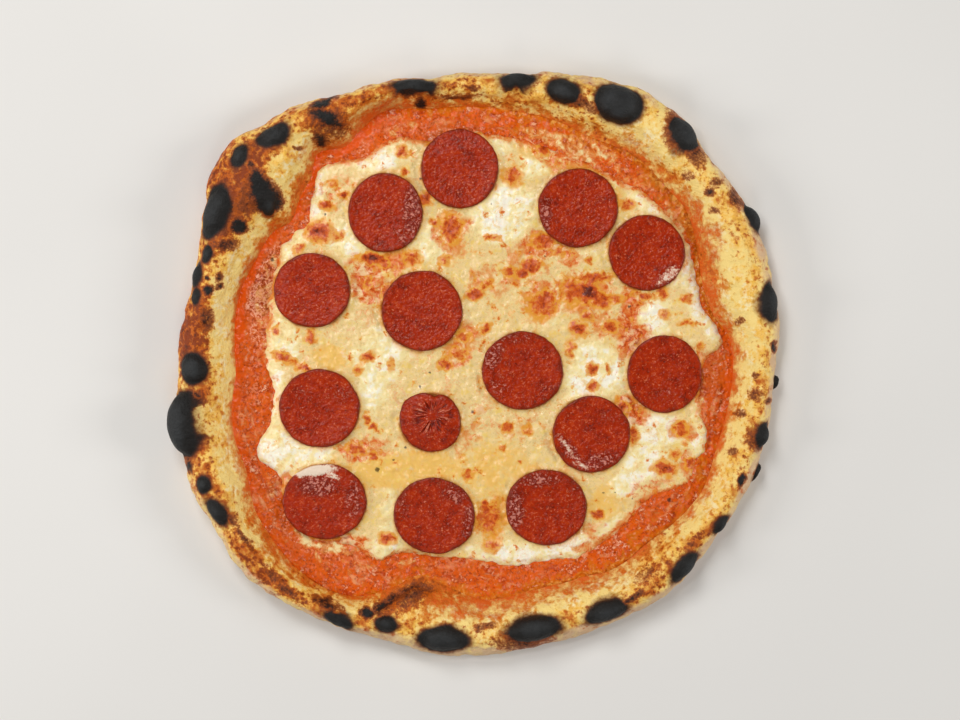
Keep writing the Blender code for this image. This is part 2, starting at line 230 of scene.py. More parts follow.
# Scorched places of the rim that did not blister
SCORCHES = [
    (-113, 94, 8, 3.8, -70, 1.0), (-111.5, 90, 8, 5.4, -66, 1.0), (-109, 86, 6.5, 6.5, 0, 1.0),
    (-124, 72, 4, 3.5, 0, 0.85), (-119, 86, 9, 5, 70, 0.42), (-78, 129, 9, 4, -22, 0.8),
    (-81.5, 117.5, 3.6, 3, 0, 0.76), (-80, 137, 8, 2.6, 30, 0.74), (-77, 126, 9, 7, 0, 0.46),
    (-28.5, 136, 3.8, 3.2, 90, 0.85), (-35, 143, 7, 2.5, 0, 0.8), (56, 137, 8, 2.6, -25, 0.5),
    (116, 110, 7, 4, -60, 0.48), (105, 124, 5, 9, 0, 0.5), (137, 87, 5, 3, -60, 0.55),
    (147, -40, 4.5, 4.5, 90, 0.46), (83, -124, 7, 1.6, 35, 0.6), (25, -147, 13, 4.5, 0, 0.5),
    (123, 90, 2.4, 2.1, 0, 0.58), (112, 98.5, 2.2, 1.9, 0, 0.42), (126, 80, 2.4, 1.8, -20, 0.42),
    (127, 95, 3.2, 2, 30, 0.42), (127, 106, 2.4, 1.6, 0, 0.42), (157.5, 8, 3, 1.8, 80, 0.68),
    (139.5, 22, 2, 1.8, 0, 0.4), (147.5, -16.5, 3, 2.8, 0, 0.46), (148, -7, 2.2, 2, 0, 0.42),
    (155, -20, 1.6, 1.6, 0, 0.46), (140, -27, 2.1, 2.1, 0, 0.4), (140.5, -62, 4, 1.7, 75, 0.85),
    (136, -46, 2.1, 2.1, 0, 0.4), (113.5, -95.5, 2.2, 2.2, 0, 0.4), (-57, -132, 3, 2.6, 0, 0.85),
    (-50, -129, 5, 2.6, 30, 0.7), (-44, -125, 6, 2.4, 33, 0.56), (-35, -119.5, 8, 2.2, 40, 0.54),
    (-33, -121, 14, 5.5, 33, 0.44), (-25, -112, 5, 2.2, 35, 0.6), (-151, -54, 2.6, 3.4, 0, 0.72),
    (-145.5, -16.5, 1.9, 1.7, 0, 0.7), (-107, -112, 4, 1.8, -38, 0.52), (-122, -92, 8, 1.6, -55, 0.46),
    (-128, -82, 5, 1.8, -60, 0.5), (-99, -120, 6, 1.8, -35, 0.5), (-140, 37.5, 2.6, 2.4, 0, 0.78),
    (-141, 44.5, 1.6, 1.5, 0, 0.72), (-134.5, 45, 2.6, 1.8, 70, 0.6), (-134.5, 40, 2, 1.5, 0, 0.6),
    (-141, 23, 6, 3, 85, 0.52), (-93, 113, 1.8, 1.3, 0, 0.5), (-117, 104, 1.6, 1.4, 0, 0.65),
    (-131, 62, 6, 3, 0, 0.55), (5, -139, 6, 1.6, 10, 0.42), (-78, -127, 8, 2.2, -25, 0.6),
    (90, -112, 6, 3, 30, 0.24), (-2, 145, 4, 1.2, 0, 0.5), (-10, 141, 10, 1.1, 3, 0.45),
]

# Parts of the rim that are browner than the rest of it there, and paler
TOASTED_PATCHES = [
    (-122, 86, 15, 9, 70, 0.32), (-80, 126, 11, 9, 0, 0.3), (-132, 100, 8, 14, -30, 0.1),
    (-145, 20, 6, 22, 0, 0.2), (-153, 12, 4, 16, 0, 0.45), (-138, 104, 6, 16, -38, 0.25),
    (-114, -108, 16, 5, -42, 0.1), (-36, -126, 16, 5, 30, 0.2), (118, -92, 12, 5, 48, 0.15),
    (-140, -18, 4.5, 24, 3, 0.2), (96, -112, 10, 5, 35, 0.15),
]
PALE_PATCHES = [
    (-97, 109, 17, 8, 62, 0.36), (2, 143, 16, 4, 0, 0.08), (84, 120, 12, 5, -35, 0.25),
    (-105, 92, 10, 4, 75, 0.28), (-96, 126, 12, 4, 38, 0.3), (-124, 45, 6, 14, 20, 0.3),
    (-134, 30, 5, 26, 5, 0.3), (-130, -20, 3.5, 30, 0, 0.2), (-128, -60, 5, 12, 25, 0.3),
    (-104, -106, 22, 4, -45, 0.35), (-64, -131, 10, 3, -20, 0.3), (92, 118, 14, 8, -40, 0.35),
    (124, 70, 6, 22, 25, 0.4), (142, 20, 6, 34, 0, 0.3), (60, -122, 30, 5, 18, 0.3),
    (120, -78, 6, 18, -35, 0.3), (0, -132, 26, 5, 0, 0.3),
]

# Folds pressed into the dough before it was baked: from, to, half width and depth
FOLDS = [
    ((-60, -134), (-22, -110), 2.6, 1.6), ((-30, -118), (-5, -122), 2.4, 1.0),
    ((-22, 139), (26, 140), 1.6, 0.8), ((-96, 76), (-84, 112), 2.4, 1.4),
    ((98, 94), (126, 46), 3.0, 2.0), ((64, 123), (104, 99), 2.6, 1.2),
    ((60, -116), (104, -86), 2.0, 0.8),
]

# Fresh white cheese that melted without browning
WHITE_PATCHES = [
    (-51, 109, 15, 8, 15, 1.0), (-83, 93, 5, 11, 0, 0.9), (-68, 65, 15, 9, -25, 0.85),
    (-98, 61, 7, 8, 20, 0.9), (15, 79, 19, 14, 15, 1.0), (12, 115, 6, 6, 0, 0.8),
    (29, 104, 9, 6, 0, 0.75), (-22, 63, 11, 12, 0, 0.7), (63, -5, 18, 15, 30, 1.0),
    (95, 24, 8, 13, 10, 1.0), (108, 48, 6, 9, 25, 0.9), (100, 32, 6, 6, 25, 0.8),
    (91, 85, 11, 5, -35, 0.95), (73, 97, 5, 3, -40, 0.8), (-105, -12, 5, 9, 0, 0.95),
    (-102, -47, 14, 12, 0, 1.0), (-86, -48, 12, 8, 0, 0.85), (-54, -12, 8, 13, 0, 0.8),
    (-50, 5, 16, 13, 30, 0.75), (-100, 14, 8, 12, 10, 0.65), (96, -34, 16, 10, -20, 0.95),
    (118, -41, 8, 5, 25, 1.0), (88, -56, 16, 11, 30, 0.9), (82, -66, 12, 7, 15, 0.7),
    (48, -96, 13, 6, 15, 1.0), (20, -100, 14, 6, 0, 1.0), (54, -103, 3.5, 6, 20, 1.0),
    (-48, -99, 10, 7, 0, 0.85), (-45, -80, 6, 12, 0, 0.7), (112, 10, 7, 6, 0, 0.7),
    (44, 21, 7, 6, 0, 0.45), (-2, 26, 7, 5, 0, 0.45), (58, 56, 9, 5, 0, 0.45), (72, -88, 9, 6, 30, 0.6),
]

# Where the fat has run and dyed the cheese a deep yellow
YELLOW_PATCHES = [
    (-38, -57, 36, 11, 5, 0.9), (12, -56, 24, 17, 0, 0.7), (70, -74, 15, 11, 30, 0.75),
    (-75, 3, 14, 7, -15, 0.85), (8, -77, 14, 18, 0, 0.6), (-12, 62, 16, 16, 0, 0.4),
    (62, 99, 22, 6, -28, 0.8), (36, 109, 16, 8, -15, 0.7), (97, 62, 20, 26, 0, 0.4),
    (-71, -57, 18, 8, 0, 0.6), (-42, 49, 9, 7, 0, 0.8), (101, 62, 22, 4, -50, 0.5),
    (-90, 70, 10, 6, 0, 0.5), (28, 30, 22, 14, 0, 0.35),
]

# Where the cheese is thin and the tomato comes through it
TOMATO_PATCHES = [
    (36, 33, 11, 9, 0, 0.85), (58, 38, 17, 13, 0, 0.72), (38, 62, 14, 8, 0, 0.85),
    (24, 50, 16, 12, 20, 0.5), (50, 55, 8, 5, 0, 0.55), (8, 45, 16, 10, 20, 0.42),
    (82, 27, 6, 19, -10, 0.85), (84, 13, 10, 9, 0, 0.95), (83, -26, 9, 8, 0, 1.0),
    (-57, 45, 10, 15, 0, 0.8), (-46, 33, 6, 12, 0, 0.75), (-42, 54, 11, 7, 0, 0.72),
    (-12, 71, 10, 12, 0, 0.72), (-75, 91, 8, 10, 0, 0.5), (-62, -46, 12, 6, -15, 0.8),
    (-52, -44, 9, 9, 0, 0.5), (8, -83, 10, 11, 0, 0.62), (70, 20, 11, 10, 0, 0.5),
    (-9, 5, 8, 7, 30, 0.8), (-5, 16, 7, 7, 0, 0.6), (22, -35, 14, 8, 0, 0.42), (-6, -40, 9, 9, 0, 0.45),
    (110, -35, 8, 6, 0, 0.6), (113, -52, 5, 7, 0, 0.75), (46, 108, 18, 7, -20, 0.6),
    (-80, -94, 26, 7, -5, 0.9), (-98, -64, 8, 6, 0, 0.8), (60, -88, 8, 6, 0, 0.5),
    (92, -66, 14, 5, 25, 0.5), (59, -99, 7, 5, 10, 0.55), (118, 3, 8, 8, 0, 0.6),
]

# Spots of cheese that browned. Over 0.7 the middle is burnt dark.
BROWN_SPOTS = [
    (59.5, 37.5, 6.5, 4.6, -10, 1.0), (51, 38, 5, 7, 0, 0.66), (63, 45.5, 8, 2.8, 5, 0.74),
    (67, 33, 5, 4, 0, 0.7), (36, 31, 7, 6, 0, 0.66), (39, 35, 3, 3, 0, 0.8),
    (29.5, 51.5, 5, 4, 20, 0.76), (25, 48, 4, 2.4, 10, 0.76), (18, 48.5, 2.8, 2.6, 0, 0.72),
    (0, 36, 4.6, 2.8, 10, 0.76), (6, 41, 4, 2.4, 30, 0.55), (5.6, 19.3, 2.9, 2.9, 0, 0.66),
    (-15.8, -0.6, 3.2, 3, 0, 0.7), (-8.5, 4.8, 4.4, 3.4, 30, 0.6), (-6.6, 14.2, 3.2, 2.6, 0, 0.62),
    (54.7, 17.9, 4.8, 3.2, -20, 0.78), (71.7, 19.3, 3.6, 3.4, 0, 0.68), (59.4, 24.8, 2.8, 2.4, 0, 0.66),
    (75.5, 33.5, 3.6, 2, 0, 0.56), (62.3, -3.2, 2.6, 3, 0, 0.72), (62.7, -12.4, 2.6, 2.2, 0, 0.56),
    (70.3, -3, 1.4, 2, 0, 0.62), (76, -18, 1.5, 1.5, 0, 0.5), (50.5, 6.5, 2.4, 5, 0, 0.55),
    (-102.5, 3, 5, 2.2, -25, 0.74), (-93, -2, 6, 2, -30, 0.55), (-89.5, -2.8, 2, 1.8, 0, 0.82),
    (-87, 14, 3, 4, 0, 0.66), (-105.5, 17, 2, 2, 0, 0.52), (-57, 3, 4, 2.6, 40, 0.68),
    (-62, -4, 2.3, 2.2, 0, 0.6), (-44.5, -0.8, 1.8, 2.6, 0, 0.5), (-57.8, -29.5, 1.8, 2.8, 0, 0.66),
    (-53.4, -34.5, 2, 1.9, 0, 0.8), (-62.5, -45.5, 5.5, 3, -15, 0.66), (-54.5, -50, 2, 1.8, 0, 0.74),
    (-3.6, -59.3, 2.7, 2.7, 0, 0.62), (17.4, -34.7, 3.2, 2.4, 20, 0.68), (28, -36, 3, 2.4, 0, 0.48),
    (14.8, -45, 2, 1.5, 0, 0.52), (7.5, -82.5, 7, 7.5, 0, 0.64), (5, -76, 3, 3, 0, 0.6),
    (9, -97, 4, 3.2, 0, 0.6), (-47, -93.4, 4, 3.4, 0, 0.68), (100.9, -55.9, 5.4, 3.6, -8, 0.76),
    (106, -48.3, 2.6, 2.6, 0, 0.64), (108.9, -34.6, 3.2, 3.8, 0, 0.7), (112, -42.8, 2, 1.6, 0, 0.54),
    (115, -53, 3, 3.4, 0, 0.66), (83.8, -38.5, 2.6, 4.6, 0, 0.64), (65, -81, 3, 2.6, 0, 0.62),
    (-82.4, 70, 6.4, 5, 0, 0.74), (-83.4, 69.6, 3.2, 1.7, 0, 1.0), (-93.8, 60.6, 3.2, 2.6, 0, 0.66),
    (-72.4, 67.6, 2.7, 2.6, 0, 0.58), (-79, 83.6, 3.6, 2.2, 0, 0.64), (-70, 89.2, 2.6, 2.2, 0, 0.68),
    (-76, 95, 3, 2.6, 30, 0.58), (-38.9, 112.3, 3, 3.2, 0, 0.68), (-37.5, 101.6, 2.2, 2.2, 0, 0.56),
    (-26.5, 87, 3.6, 3.4, 0, 0.7), (-12.9, 71.3, 5.4, 6.6, 0, 0.72), (-21.9, 75, 2.2, 2.2, 0, 0.6),
    (-15.9, 54.3, 2.7, 2.4, 0, 0.5), (-55, 55.6, 6, 3, -5, 0.92), (-49, 53, 3, 2.4, 0, 0.8),
    (-33, 55.5, 4, 3.8, 0, 0.62), (-57, 43, 2, 3, 0, 0.66), (-47, 37, 2.4, 4, 0, 0.7),
    (20.5, 99.4, 4.6, 5, 0, 0.58), (36, 113, 2.8, 3, 0, 0.72), (52.6, 113, 2.4, 2, 0, 0.66),
    (36.5, 64.5, 6, 3.6, 0, 0.72), (44, 58.5, 3, 2.4, 0, 0.66), (60.6, 54.6, 1.8, 2.2, 0, 0.6),
    (80.5, 84, 4, 2.8, 0, 0.56), (9, 66.5, 3.6, 1.6, 0, 0.6), (101, 25.6, 2.8, 2.6, 0, 0.54),
    (112.5, 34.6, 3.2, 2.6, 0, 0.6), (99.8, 36.8, 2.7, 3.2, 0, 0.56), (112, 21, 4, 2, 0, 0.62),
    (119, 9, 2.2, 2, 0, 0.56), (78, -24, 3, 3, 0, 0.8), (98, 39, 3, 4, 0, 0.58), (76, 57, 3, 2, 0, 0.5),
    (90, 36, 6, 2, -10, 0.6),
]

# Streaks of cheese that lie over the sauce
STREAKS = [
    (-91, -90, 8, 3.4, -40, 1.0), (-76, -98, 12, 3.4, -8, 1.0), (-62, -97, 6, 3, 10, 0.8),
    (-98, -72, 8, 2.4, -50, 0.8), (-104, -64, 7, 2.2, -30, 0.75), (-109, -66, 9, 1.6, -75, 0.7),
    (-108, 50, 12, 3, 75, 0.55), (-112, 30, 16, 5, 90, 0.5), (-40, 124, 18, 3, 10, 0.4),
    (55, 112, 14, 5, -25, 0.85), (40, 119, 16, 5, -12, 0.75), (68, 112, 10, 4, -32, 0.75),
    (82, 99, 12, 4, -38, 0.5), (-60, -108, 14, 2, -12, 0.5), (-88, -98, 10, 2, -45, 0.55),
    (-112, 8, 8, 1.6, 88, 0.45), (106, 74, 12, 4, -60, 0.7), (-36, -106, 8, 2, 0, 0.5),
    (118, -20, 6, 8, 0, 0.45), (116, -8, 5, 8, 0, 0.5),
]

# Sauce with milk from the cheese in it, pale and grainy
PINK_SAUCE = [
    (-108, 54, 6, 13, -20, 0.9), (-114, 36, 8, 18, -10, 1.0), (-114, 16, 8, 12, 0, 0.8),
    (-119, -5, 5, 20, 0, 0.35), (-36, 125, 24, 5, 0, 0.55), (-62, 116, 8, 6, -40, 0.7),
    (-22, 122, 10, 5, 0, 0.5), (-98, -66, 8, 7, -40, 0.8), (-80, -98, 24, 8, -15, 0.7),
    (125, -4, 7, 14, 0, 0.6), (118, -22, 7, 9, 0, 0.7), (-20, -108, 22, 4, 0, 0.4),
    (30, -113, 20, 4, 5, 0.35),
]

# Sauce thinned by oil that ran out of the cheese and pepperoni
OILY_PATCHES = [
    (109, 76, 6, 12, 30, 0.7), (96, 92, 14, 5, -42, 0.5), (52, 116, 14, 6, -25, 0.9),
    (30, 122, 14, 5, -12, 0.7), (120, -56, 4, 14, 10, 0.6), (108, -76, 12, 4, 50, 0.5),
    (86, -92, 12, 4, 40, 0.5), (10, -122, 24, 4, 0, 0.5),
]

# Round the pizza, by angle in degrees, from 0 to 1: how clear and red the sauce is along the rim, how much
# oil has thinned it there, and how white the cheese stays up to its edge
CLEAR_SAUCE = [
    (0, 0.45), (8, 0.3), (16, 0), (75, 0), (92, 0.25), (105, 0.35), (120, 0.9), (140, 1), (172, 1),
    (185, 0.6), (200, 0.5), (215, 0.4), (235, 0.3), (250, 0.15), (300, 0.15), (320, 0.3), (345, 0.45),
]
OILY_SAUCE = [
    (0, 0), (8, 0.5), (16, 1.0), (40, 0.9), (56, 0.65), (75, 0.6), (92, 0.45), (105, 0.3), (120, 0),
    (235, 0), (250, 0.4), (290, 0.6), (310, 0.5), (330, 0.3), (350, 0),
]
WHITE_EDGE = [
    (0, 0), (8, 0.9), (24, 1), (36, 0.5), (48, 0), (60, 0), (120, 0.2), (132, 0.8), (145, 0.6),
    (160, 0), (170, 0.4), (196, 0.8), (208, 0.9), (217, 0), (238, 0), (270, 0.6), (292, 0.9), (305, 0),
    (325, 0), (335, 0.6), (342, 0.8), (350, 0.2),
]

# Slices of pepperoni: place, width, length and the angle of the width from +X in degrees
SLICES = [
    ((-8.2, 103), 40.5, 41.5, 0), ((-47.5, 79.7), 39, 41.5, 0), ((54.7, 82.3), 42, 41, 20),
    ((91, 58.4), 40, 39.5, 0), ((-86.5, 38.5), 40, 39, 0), ((-28.2, 27.7), 42.5, 42, 0),
    ((25.2, -4), 42.5, 41, 0), ((100.5, -6), 39, 40.5, 0), ((-82.5, -24), 42, 41, 0),
    ((61.7, -37.8), 40.5, 40, 0), ((-79.8, -73.5), 44, 39.5, 0), ((-21.5, -81), 43, 39.5, -12),
    ((37.8, -76.5), 42.5, 39.5, 0),
]

# The end of the sausage, where its knot and the notch in its far edge are, and its outline, by angle in
# degrees, as a share of its ellipse
END_PIECE = ((-23.7, -31.3), 32.5, 31, 0)
KNOT = (-22.2, -27.4)
NOTCH = (-20.6, -16.4)
END_OUTLINE = [
    (0, 0.98), (30, 1.01), (60, 1.02), (74, 0.97), (80, 0.89), (88, 0.93), (100, 1.03), (120, 1.06),
    (140, 1.08), (160, 1.03), (180, 0.98), (205, 0.97), (225, 0.96), (250, 0.98), (270, 1.0),
    (295, 1.03), (315, 1.04), (335, 1.01),
]

# Where a slice blistered in its own fat, so that it is wrinkled and wet, with highlights painted on its
# wrinkles
WET_SKIN = [
    (-33, 80, 6, 15, 0, 0.9), (-36, 66, 8, 5, -30, 0.6), (37.5, 80, 3.4, 10, 0, 0.9),
    (10, 4, 5, 9, -25, 0.85), (20, 13, 10, 4, 0, 0.6), (12, -12, 5, 8, 20, 0.5),
    (-84, -65, 11, 6, 0, 1.0), (-64, -72, 5, 12, 0, 0.65), (-10, -68, 9, 6, -30, 0.7),
    (-3, -84, 4, 10, 0, 0.75), (-38, -75, 4, 8, 0, 0.55), (-9, -72.6, 2.6, 2.6, 0, 0.9),
    (21.5, -77, 4.6, 12, 0, 1.0), (34, -62, 12, 4, 0, 0.8), (54, -66, 6, 6, 0, 0.5),
    (66, -52, 12, 5, 15, 0.8), (50, -46, 3.4, 9, 40, 0.9), (103, 46, 8, 5, 35, 0.8),
    (71, -28, 6, 4, 0, 0.4), (100, -17, 10, 5, 0, 0.35), (-72, -18, 6, 5, 0, 0.45),
    (-90, -17, 6, 4, 0, 0.4), (-36, 15, 8, 4, 0, 0.35),
]

# Cheese that has run over the edge of a slice
RUN_OVER = [
    (-86, -56.8, 11.5, 3, 4, 1.0), (-75, -59.6, 4, 1.8, -20, 0.6), (102.5, 46.5, 7, 2.6, 38, 0.5),
    (49.5, -45.5, 8, 1.5, -52, 0.46), (57, -54.5, 6, 1.3, -20, 0.44),
]

# Burnt crumbs and grains of pepper, a millimetre or so across: place and half width
CRUMBS = [
    ((-29.3, -12.5), 0.9), ((-28.9, 98), 1.1), ((29, 58.7), 0.7), ((-37, -44.8), 0.9),
    ((-43.2, -51.4), 0.8), ((-51.9, -56.6), 1.4), ((68.2, -69), 0.7), ((74.4, -68.6), 0.7),
    ((83.4, -72), 0.7), ((87.6, -74), 0.8), ((8.8, 84.6), 0.7), ((-79.5, 79), 0.8),
    ((25.3, -43.7), 0.6), ((-1.5, -26), 1.0), ((-24, -5), 0.7), ((103.3, -72.9), 1.4),
    ((-107.8, 55), 1.2), ((-26.8, 8), 0.7), ((82, 30), 0.9), ((37, 56.6), 0.8),
]

# The panels of light: where each stands, in degrees from +X, how far away and how high, its size, all three
# in metres, and its share of the key's power
PANELS = [
    (115, 1.0, 1.3, 0.6, 0.8), (0, 1.4, 0.75, 0.5, 0.65), (185, 1.4, 0.75, 0.5, 0.65),
    (270, 1.15, 1.2, 0.6, 0.3), (150, 0.55, 1.45, 0.22, 0.2),
]
FLOOR_METRES = 8.0

# The middle of the picture, and the height of the toppings that it is framed on
FRAME_MIDDLE = (2.65, 1.59)
FRAME_LEVEL = 9.0

# The Mix node's sockets for colours
MIX_A = 6
MIX_B = 7
MIXED = 2


def linear(colour):
    """The linear red, green and blue of an sRGB hex colour."""
    parts = [int(colour[i : i + 2], 16) / 255 for i in (1, 3, 5)]
    return [c / 12.92 if c <= 0.04045 else ((c + 0.055) / 1.055) ** 2.4 for c in parts]


def curve_through(knots, values):
    """A smooth curve of value against knot, through the given points."""
    slope = np.empty_like(values)
    slope[1:-1] = ((values[2:] - values[:-2]).T / (knots[2:] - knots[:-2])).T
    slope[0] = (values[1] - values[0]) / (knots[1] - knots[0])
    slope[-1] = (values[-1] - values[-2]) / (knots[-1] - knots[-2])

    def at(place):
        i = np.clip(np.searchsorted(knots, place, side="right") - 1, 0, len(knots) - 2)
        span = knots[i + 1] - knots[i]
        share = (place - knots[i]) / span
        if values.ndim == 2:
            span, share = span[:, None], share[:, None]
        start, end = slope[i] * span, slope[i + 1] * span
        rise = values[i + 1] - values[i]
        bend = 3 * rise - 2 * start - end + share * (start + end - 2 * rise)
        return values[i] + share * (start + share * bend)

    return at


def ring(angles, values):
    """A smooth closed curve of value against angle, through the given points."""
    order = np.argsort(angles)
    angles, values = np.array(angles, float)[order], np.array(values, float)[order]
    turn = 2 * np.pi
    knots = np.concatenate([angles[-2:] - turn, angles, angles[:2] + turn])
    at = curve_through(knots, np.concatenate([values[-2:], values, values[:2]]))
    return lambda angle: at(np.mod(angle - angles[0], turn) + angles[0])


def ring_through(points):
    """The ring through (x, y) points, as radius against angle."""
    x, y = np.array(points, float).T
    return ring(np.mod(np.arctan2(y, x), 2 * np.pi), np.hypot(x, y))


def ring_by_degrees(pairs):
    """The ring through (angle in degrees, value) pairs, as value against angle."""
    degrees, values = np.array(pairs, float).T
    return ring(np.radians(degrees), values)


outer_radius = ring_through(OUTLINE)
foot_radius = ring_through(RIM_FOOT)
cheese_radius = ring_through(CHEESE_EDGE)
rim_height = ring_by_degrees(RIM_HEIGHT)
rim_rise = ring_by_degrees(RIM_RISE)
toast_on_crest = ring_by_degrees(TOAST_ON_CREST)
toast_on_slope = ring_by_degrees(TOAST_ON_SLOPE)
flour_on_flank = ring_by_degrees(FLOUR_ON_FLANK)
sauce_stain = ring_by_degrees(SAUCE_STAIN)
clear_sauce = ring_by_degrees(CLEAR_SAUCE)
oily_sauce = ring_by_degrees(OILY_SAUCE)
white_edge = ring_by_degrees(WHITE_EDGE)
end_outline = ring_by_degrees(END_OUTLINE)


def smooth_step(value, low, high):
    """0 up to low, 1 from high on, and smooth between."""
    share = np.clip((value - low) / (high - low), 0, 1)
    return share * share * (3 - 2 * share)


def grain(points, across, octaves=1, seed=0.0):
    """Noise of about -1 to 1 at points in millimetres, in grains about that far across."""
    places = (points / across + seed).reshape(-1, 3).tolist()
    if octaves == 1:
        values = [noise.noise(place) for place in places]
    else:
        values = [noise.fractal(place, 1.0, 2.0, octaves) for place in places]
    return np.array(values).reshape(points.shape[:-1])


def flat_points(x, y, level=0.0):
    """Points above the places, all at that level."""
    return np.stack([x, y, np.full_like(x, level)], axis=-1)


def wandered(x, y, across, push, seed=0.0):
    """The places moved sideways by noise, so that what is marked there gets a ragged outline."""
    points = flat_points(x, y)
    push_x, push_y = (push * grain(points, across, 2, seed + start) for start in WANDER_STARTS)
    return x + push_x, y + push_y


def from_mark(x, y, mark):
    """How far places are from a mark's middle: 1 on its outline."""
    middle_x, middle_y, half_length, half_width, degrees, _ = mark
    turn = np.radians(degrees)
    along = (x - middle_x) * np.cos(turn) + (y - middle_y) * np.sin(turn)
    over = (y - middle_y) * np.cos(turn) - (x - middle_x) * np.sin(turn)
    return np.hypot(along / half_length, over / half_width)


def deepest(x, y, marks):
    """How deep places lie in the strongest of the marks.

    It is the mark's strength in its middle, half of that on its outline, and goes down to OUTSIDE beyond.
    """
    depth = np.full_like(x, OUTSIDE)
    for mark in marks:
        depth = np.maximum(depth, mark[-1] * (1 - 0.5 * from_mark(x, y, mark) ** 2))
    return depth


def covered(x, y, marks):
    """How much of the marks lies on places: their strength inside, which fades out round the outline."""
    cover = np.zeros_like(x)
    for mark in marks:
        cover = np.maximum(cover, mark[-1] * (1 - smooth_step(from_mark(x, y, mark), FADE_FROM, FADE_LIMIT)))
    return cover


def crumbs_at(x, y, crumbs):
    """How deep places lie in the nearest crumb."""
    marks = [(crumb_x, crumb_y, size, size, 0, 1.0) for (crumb_x, crumb_y), size in crumbs]
    return deepest(x, y, marks)


def beyond_slices(x, y):
    """Millimetres from the edge of the nearest slice. Under a slice it is negative."""
    nearest = np.full_like(x, np.inf)
    for (middle_x, middle_y), width, length, degrees in [*SLICES, END_PIECE]:
        share = from_mark(x, y, (middle_x, middle_y, width / 2, length / 2, degrees, 1))
        nearest = np.minimum(nearest, (share - 1) * (width + length) / 4)
    return nearest


def dough_height(across, up, angle):
    """Millimetres above the floor of a point of the cross-section, at that angle round the pizza."""
    share = np.clip((up - FLAT) / (1 - FLAT), 0, 1)
    share = np.where(across < CREST, share ** rim_rise(angle), share)
    low = BASE_THICKNESS * np.clip(up / FLAT, 0, 1)
    return low + share * (rim_height(angle) - BASE_THICKNESS)


def dough_radius(across, angle):
    """How far out a point of the cross-section lies, at that angle round the pizza."""
    foot = foot_radius(angle)
    return np.where(across <= 1, across * foot, foot + (across - 1) * (outer_radius(angle) - foot))


def rim_top(x, y):
    """Height of the dough's upper side at a place on the rim."""
    angle = np.arctan2(y, x)
    foot = foot_radius(angle)
    across = 1 + (np.hypot(x, y) - foot) / (outer_radius(angle) - foot)
    up = np.interp(across, [p[0] for p in UPPER_SECTION], [p[1] for p in UPPER_SECTION])
    return float(dough_height(across, up, angle))


def rim_normal(x, y, step=3.0, most_slope=1.6):
    """Which way the rim's surface faces at (x, y), leaning no further than most_slope."""
    slope = Vector((rim_top(x - step, y) - rim_top(x + step, y), rim_top(x, y - step) - rim_top(x, y + step)))
    slope /= 2 * step
    if slope.length > most_slope:
        slope *= most_slope / slope.length
    return Vector((slope.x, slope.y, 1)).normalized()


def cheese_top(x, y):
    """Height of the cheese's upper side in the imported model."""
    inside = 1 - np.hypot(x, y) / cheese_radius(np.arctan2(y, x))
    full = np.clip(inside / CHEESE_THINNING, 0, 1)
    relief = CHEESE_RELIEF * grain(flat_points(x, y, CHEESE_NOISE_LEVEL), CHEESE_BUMP_ACROSS)
    return CHEESE_LEVEL + CHEESE_EDGE_THICKNESS + full * (CHEESE_THICKNESS - CHEESE_EDGE_THICKNESS + relief)


def turned_grid(rows, columns):
    """The row's value and the angle round the middle of each point of a grid of (rows, columns)."""
    angle = np.arange(columns) * 2 * np.pi / columns
    return np.meshgrid(rows, angle, indexing="ij")


def outward(points):
    """Which way a turned surface of (rows, columns) points faces at each point."""
    down = np.gradient(points, axis=0)
    round_it = np.roll(points, -1, axis=1) - np.roll(points, 1, axis=1)
    facing = np.cross(down, round_it)
    return facing / np.maximum(np.linalg.norm(facing, axis=-1, keepdims=True), 1e-9)


def turned_piece(name, points, fields, material, replaced):
    """A closed surface of (rows, columns) points, with a point at each end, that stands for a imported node.

    The first row is round the middle of the top, and the last round the middle of the underside. Fields are
    numbers for each point, which the material reads.
    """
    rows, columns = points.shape[:2]
    body = points.reshape(-1, 3)
    ends = [points[0].mean(axis=0), points[-1].mean(axis=0)]
    here = np.arange(rows * columns).reshape(rows, columns)
    beside = np.roll(here, -1, axis=1)
    quads = np.stack([here[:-1], here[1:], beside[1:], beside[:-1]], axis=-1).reshape(-1, 4)
    top, bottom = rows * columns, rows * columns + 1
    caps = [(top, a, b) for a, b in zip(here[0].tolist(), beside[0].tolist())]
    caps += [(bottom, b, a) for a, b in zip(here[-1].tolist(), beside[-1].tolist())]
    mesh = bpy.data.meshes.new(name)
    mesh.from_pydata((np.vstack([body, ends]) * MM).tolist(), [], quads.tolist() + caps)
    for field, values in fields.items():
        attribute = mesh.attributes.new(field, "FLOAT", "POINT")
        ends_too = np.concatenate([values.ravel(), [values[0].mean(), values[-1].mean()]])
        attribute.data.foreach_set("value", ends_too.astype(np.float32))
    mesh.shade_smooth()
    mesh.materials.append(material)
    piece = bpy.data.objects.new(name, mesh)
    bpy.context.scene.collection.objects.link(piece)
    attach(piece, BODY)
    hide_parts(replaced)
    return piece


def connect(tree, node, inputs):
    """Fills a node's inputs, each with a value or with the output of another node that it is linked to."""
    for name, value in inputs.items():
        if isinstance(value, bpy.types.NodeSocket):
            tree.links.new(value, node.inputs[name])
        else:
            node.inputs[name].default_value = value


def add(tree, kind, inputs=None, **settings):
    """Adds a node with its settings and its inputs."""
    node = tree.nodes.new(kind)
    for name, value in settings.items():
        setattr(node, name, value)
    connect(tree, node, inputs or {})
    return node


def new_material(name):
    """A new material, its nodes, and where in the pizza a point of it lies, in millimetres."""
    material = bpy.data.materials.new(name)
    material.use_nodes = True
    tree = material.node_tree
    place = add(tree, "ShaderNodeTexCoord").outputs["Object"]
    in_mm = add(tree, "ShaderNodeVectorMath", {0: place, "Scale": 1 / MM}, operation="SCALE")
    return material, tree, in_mm.outputs[0]


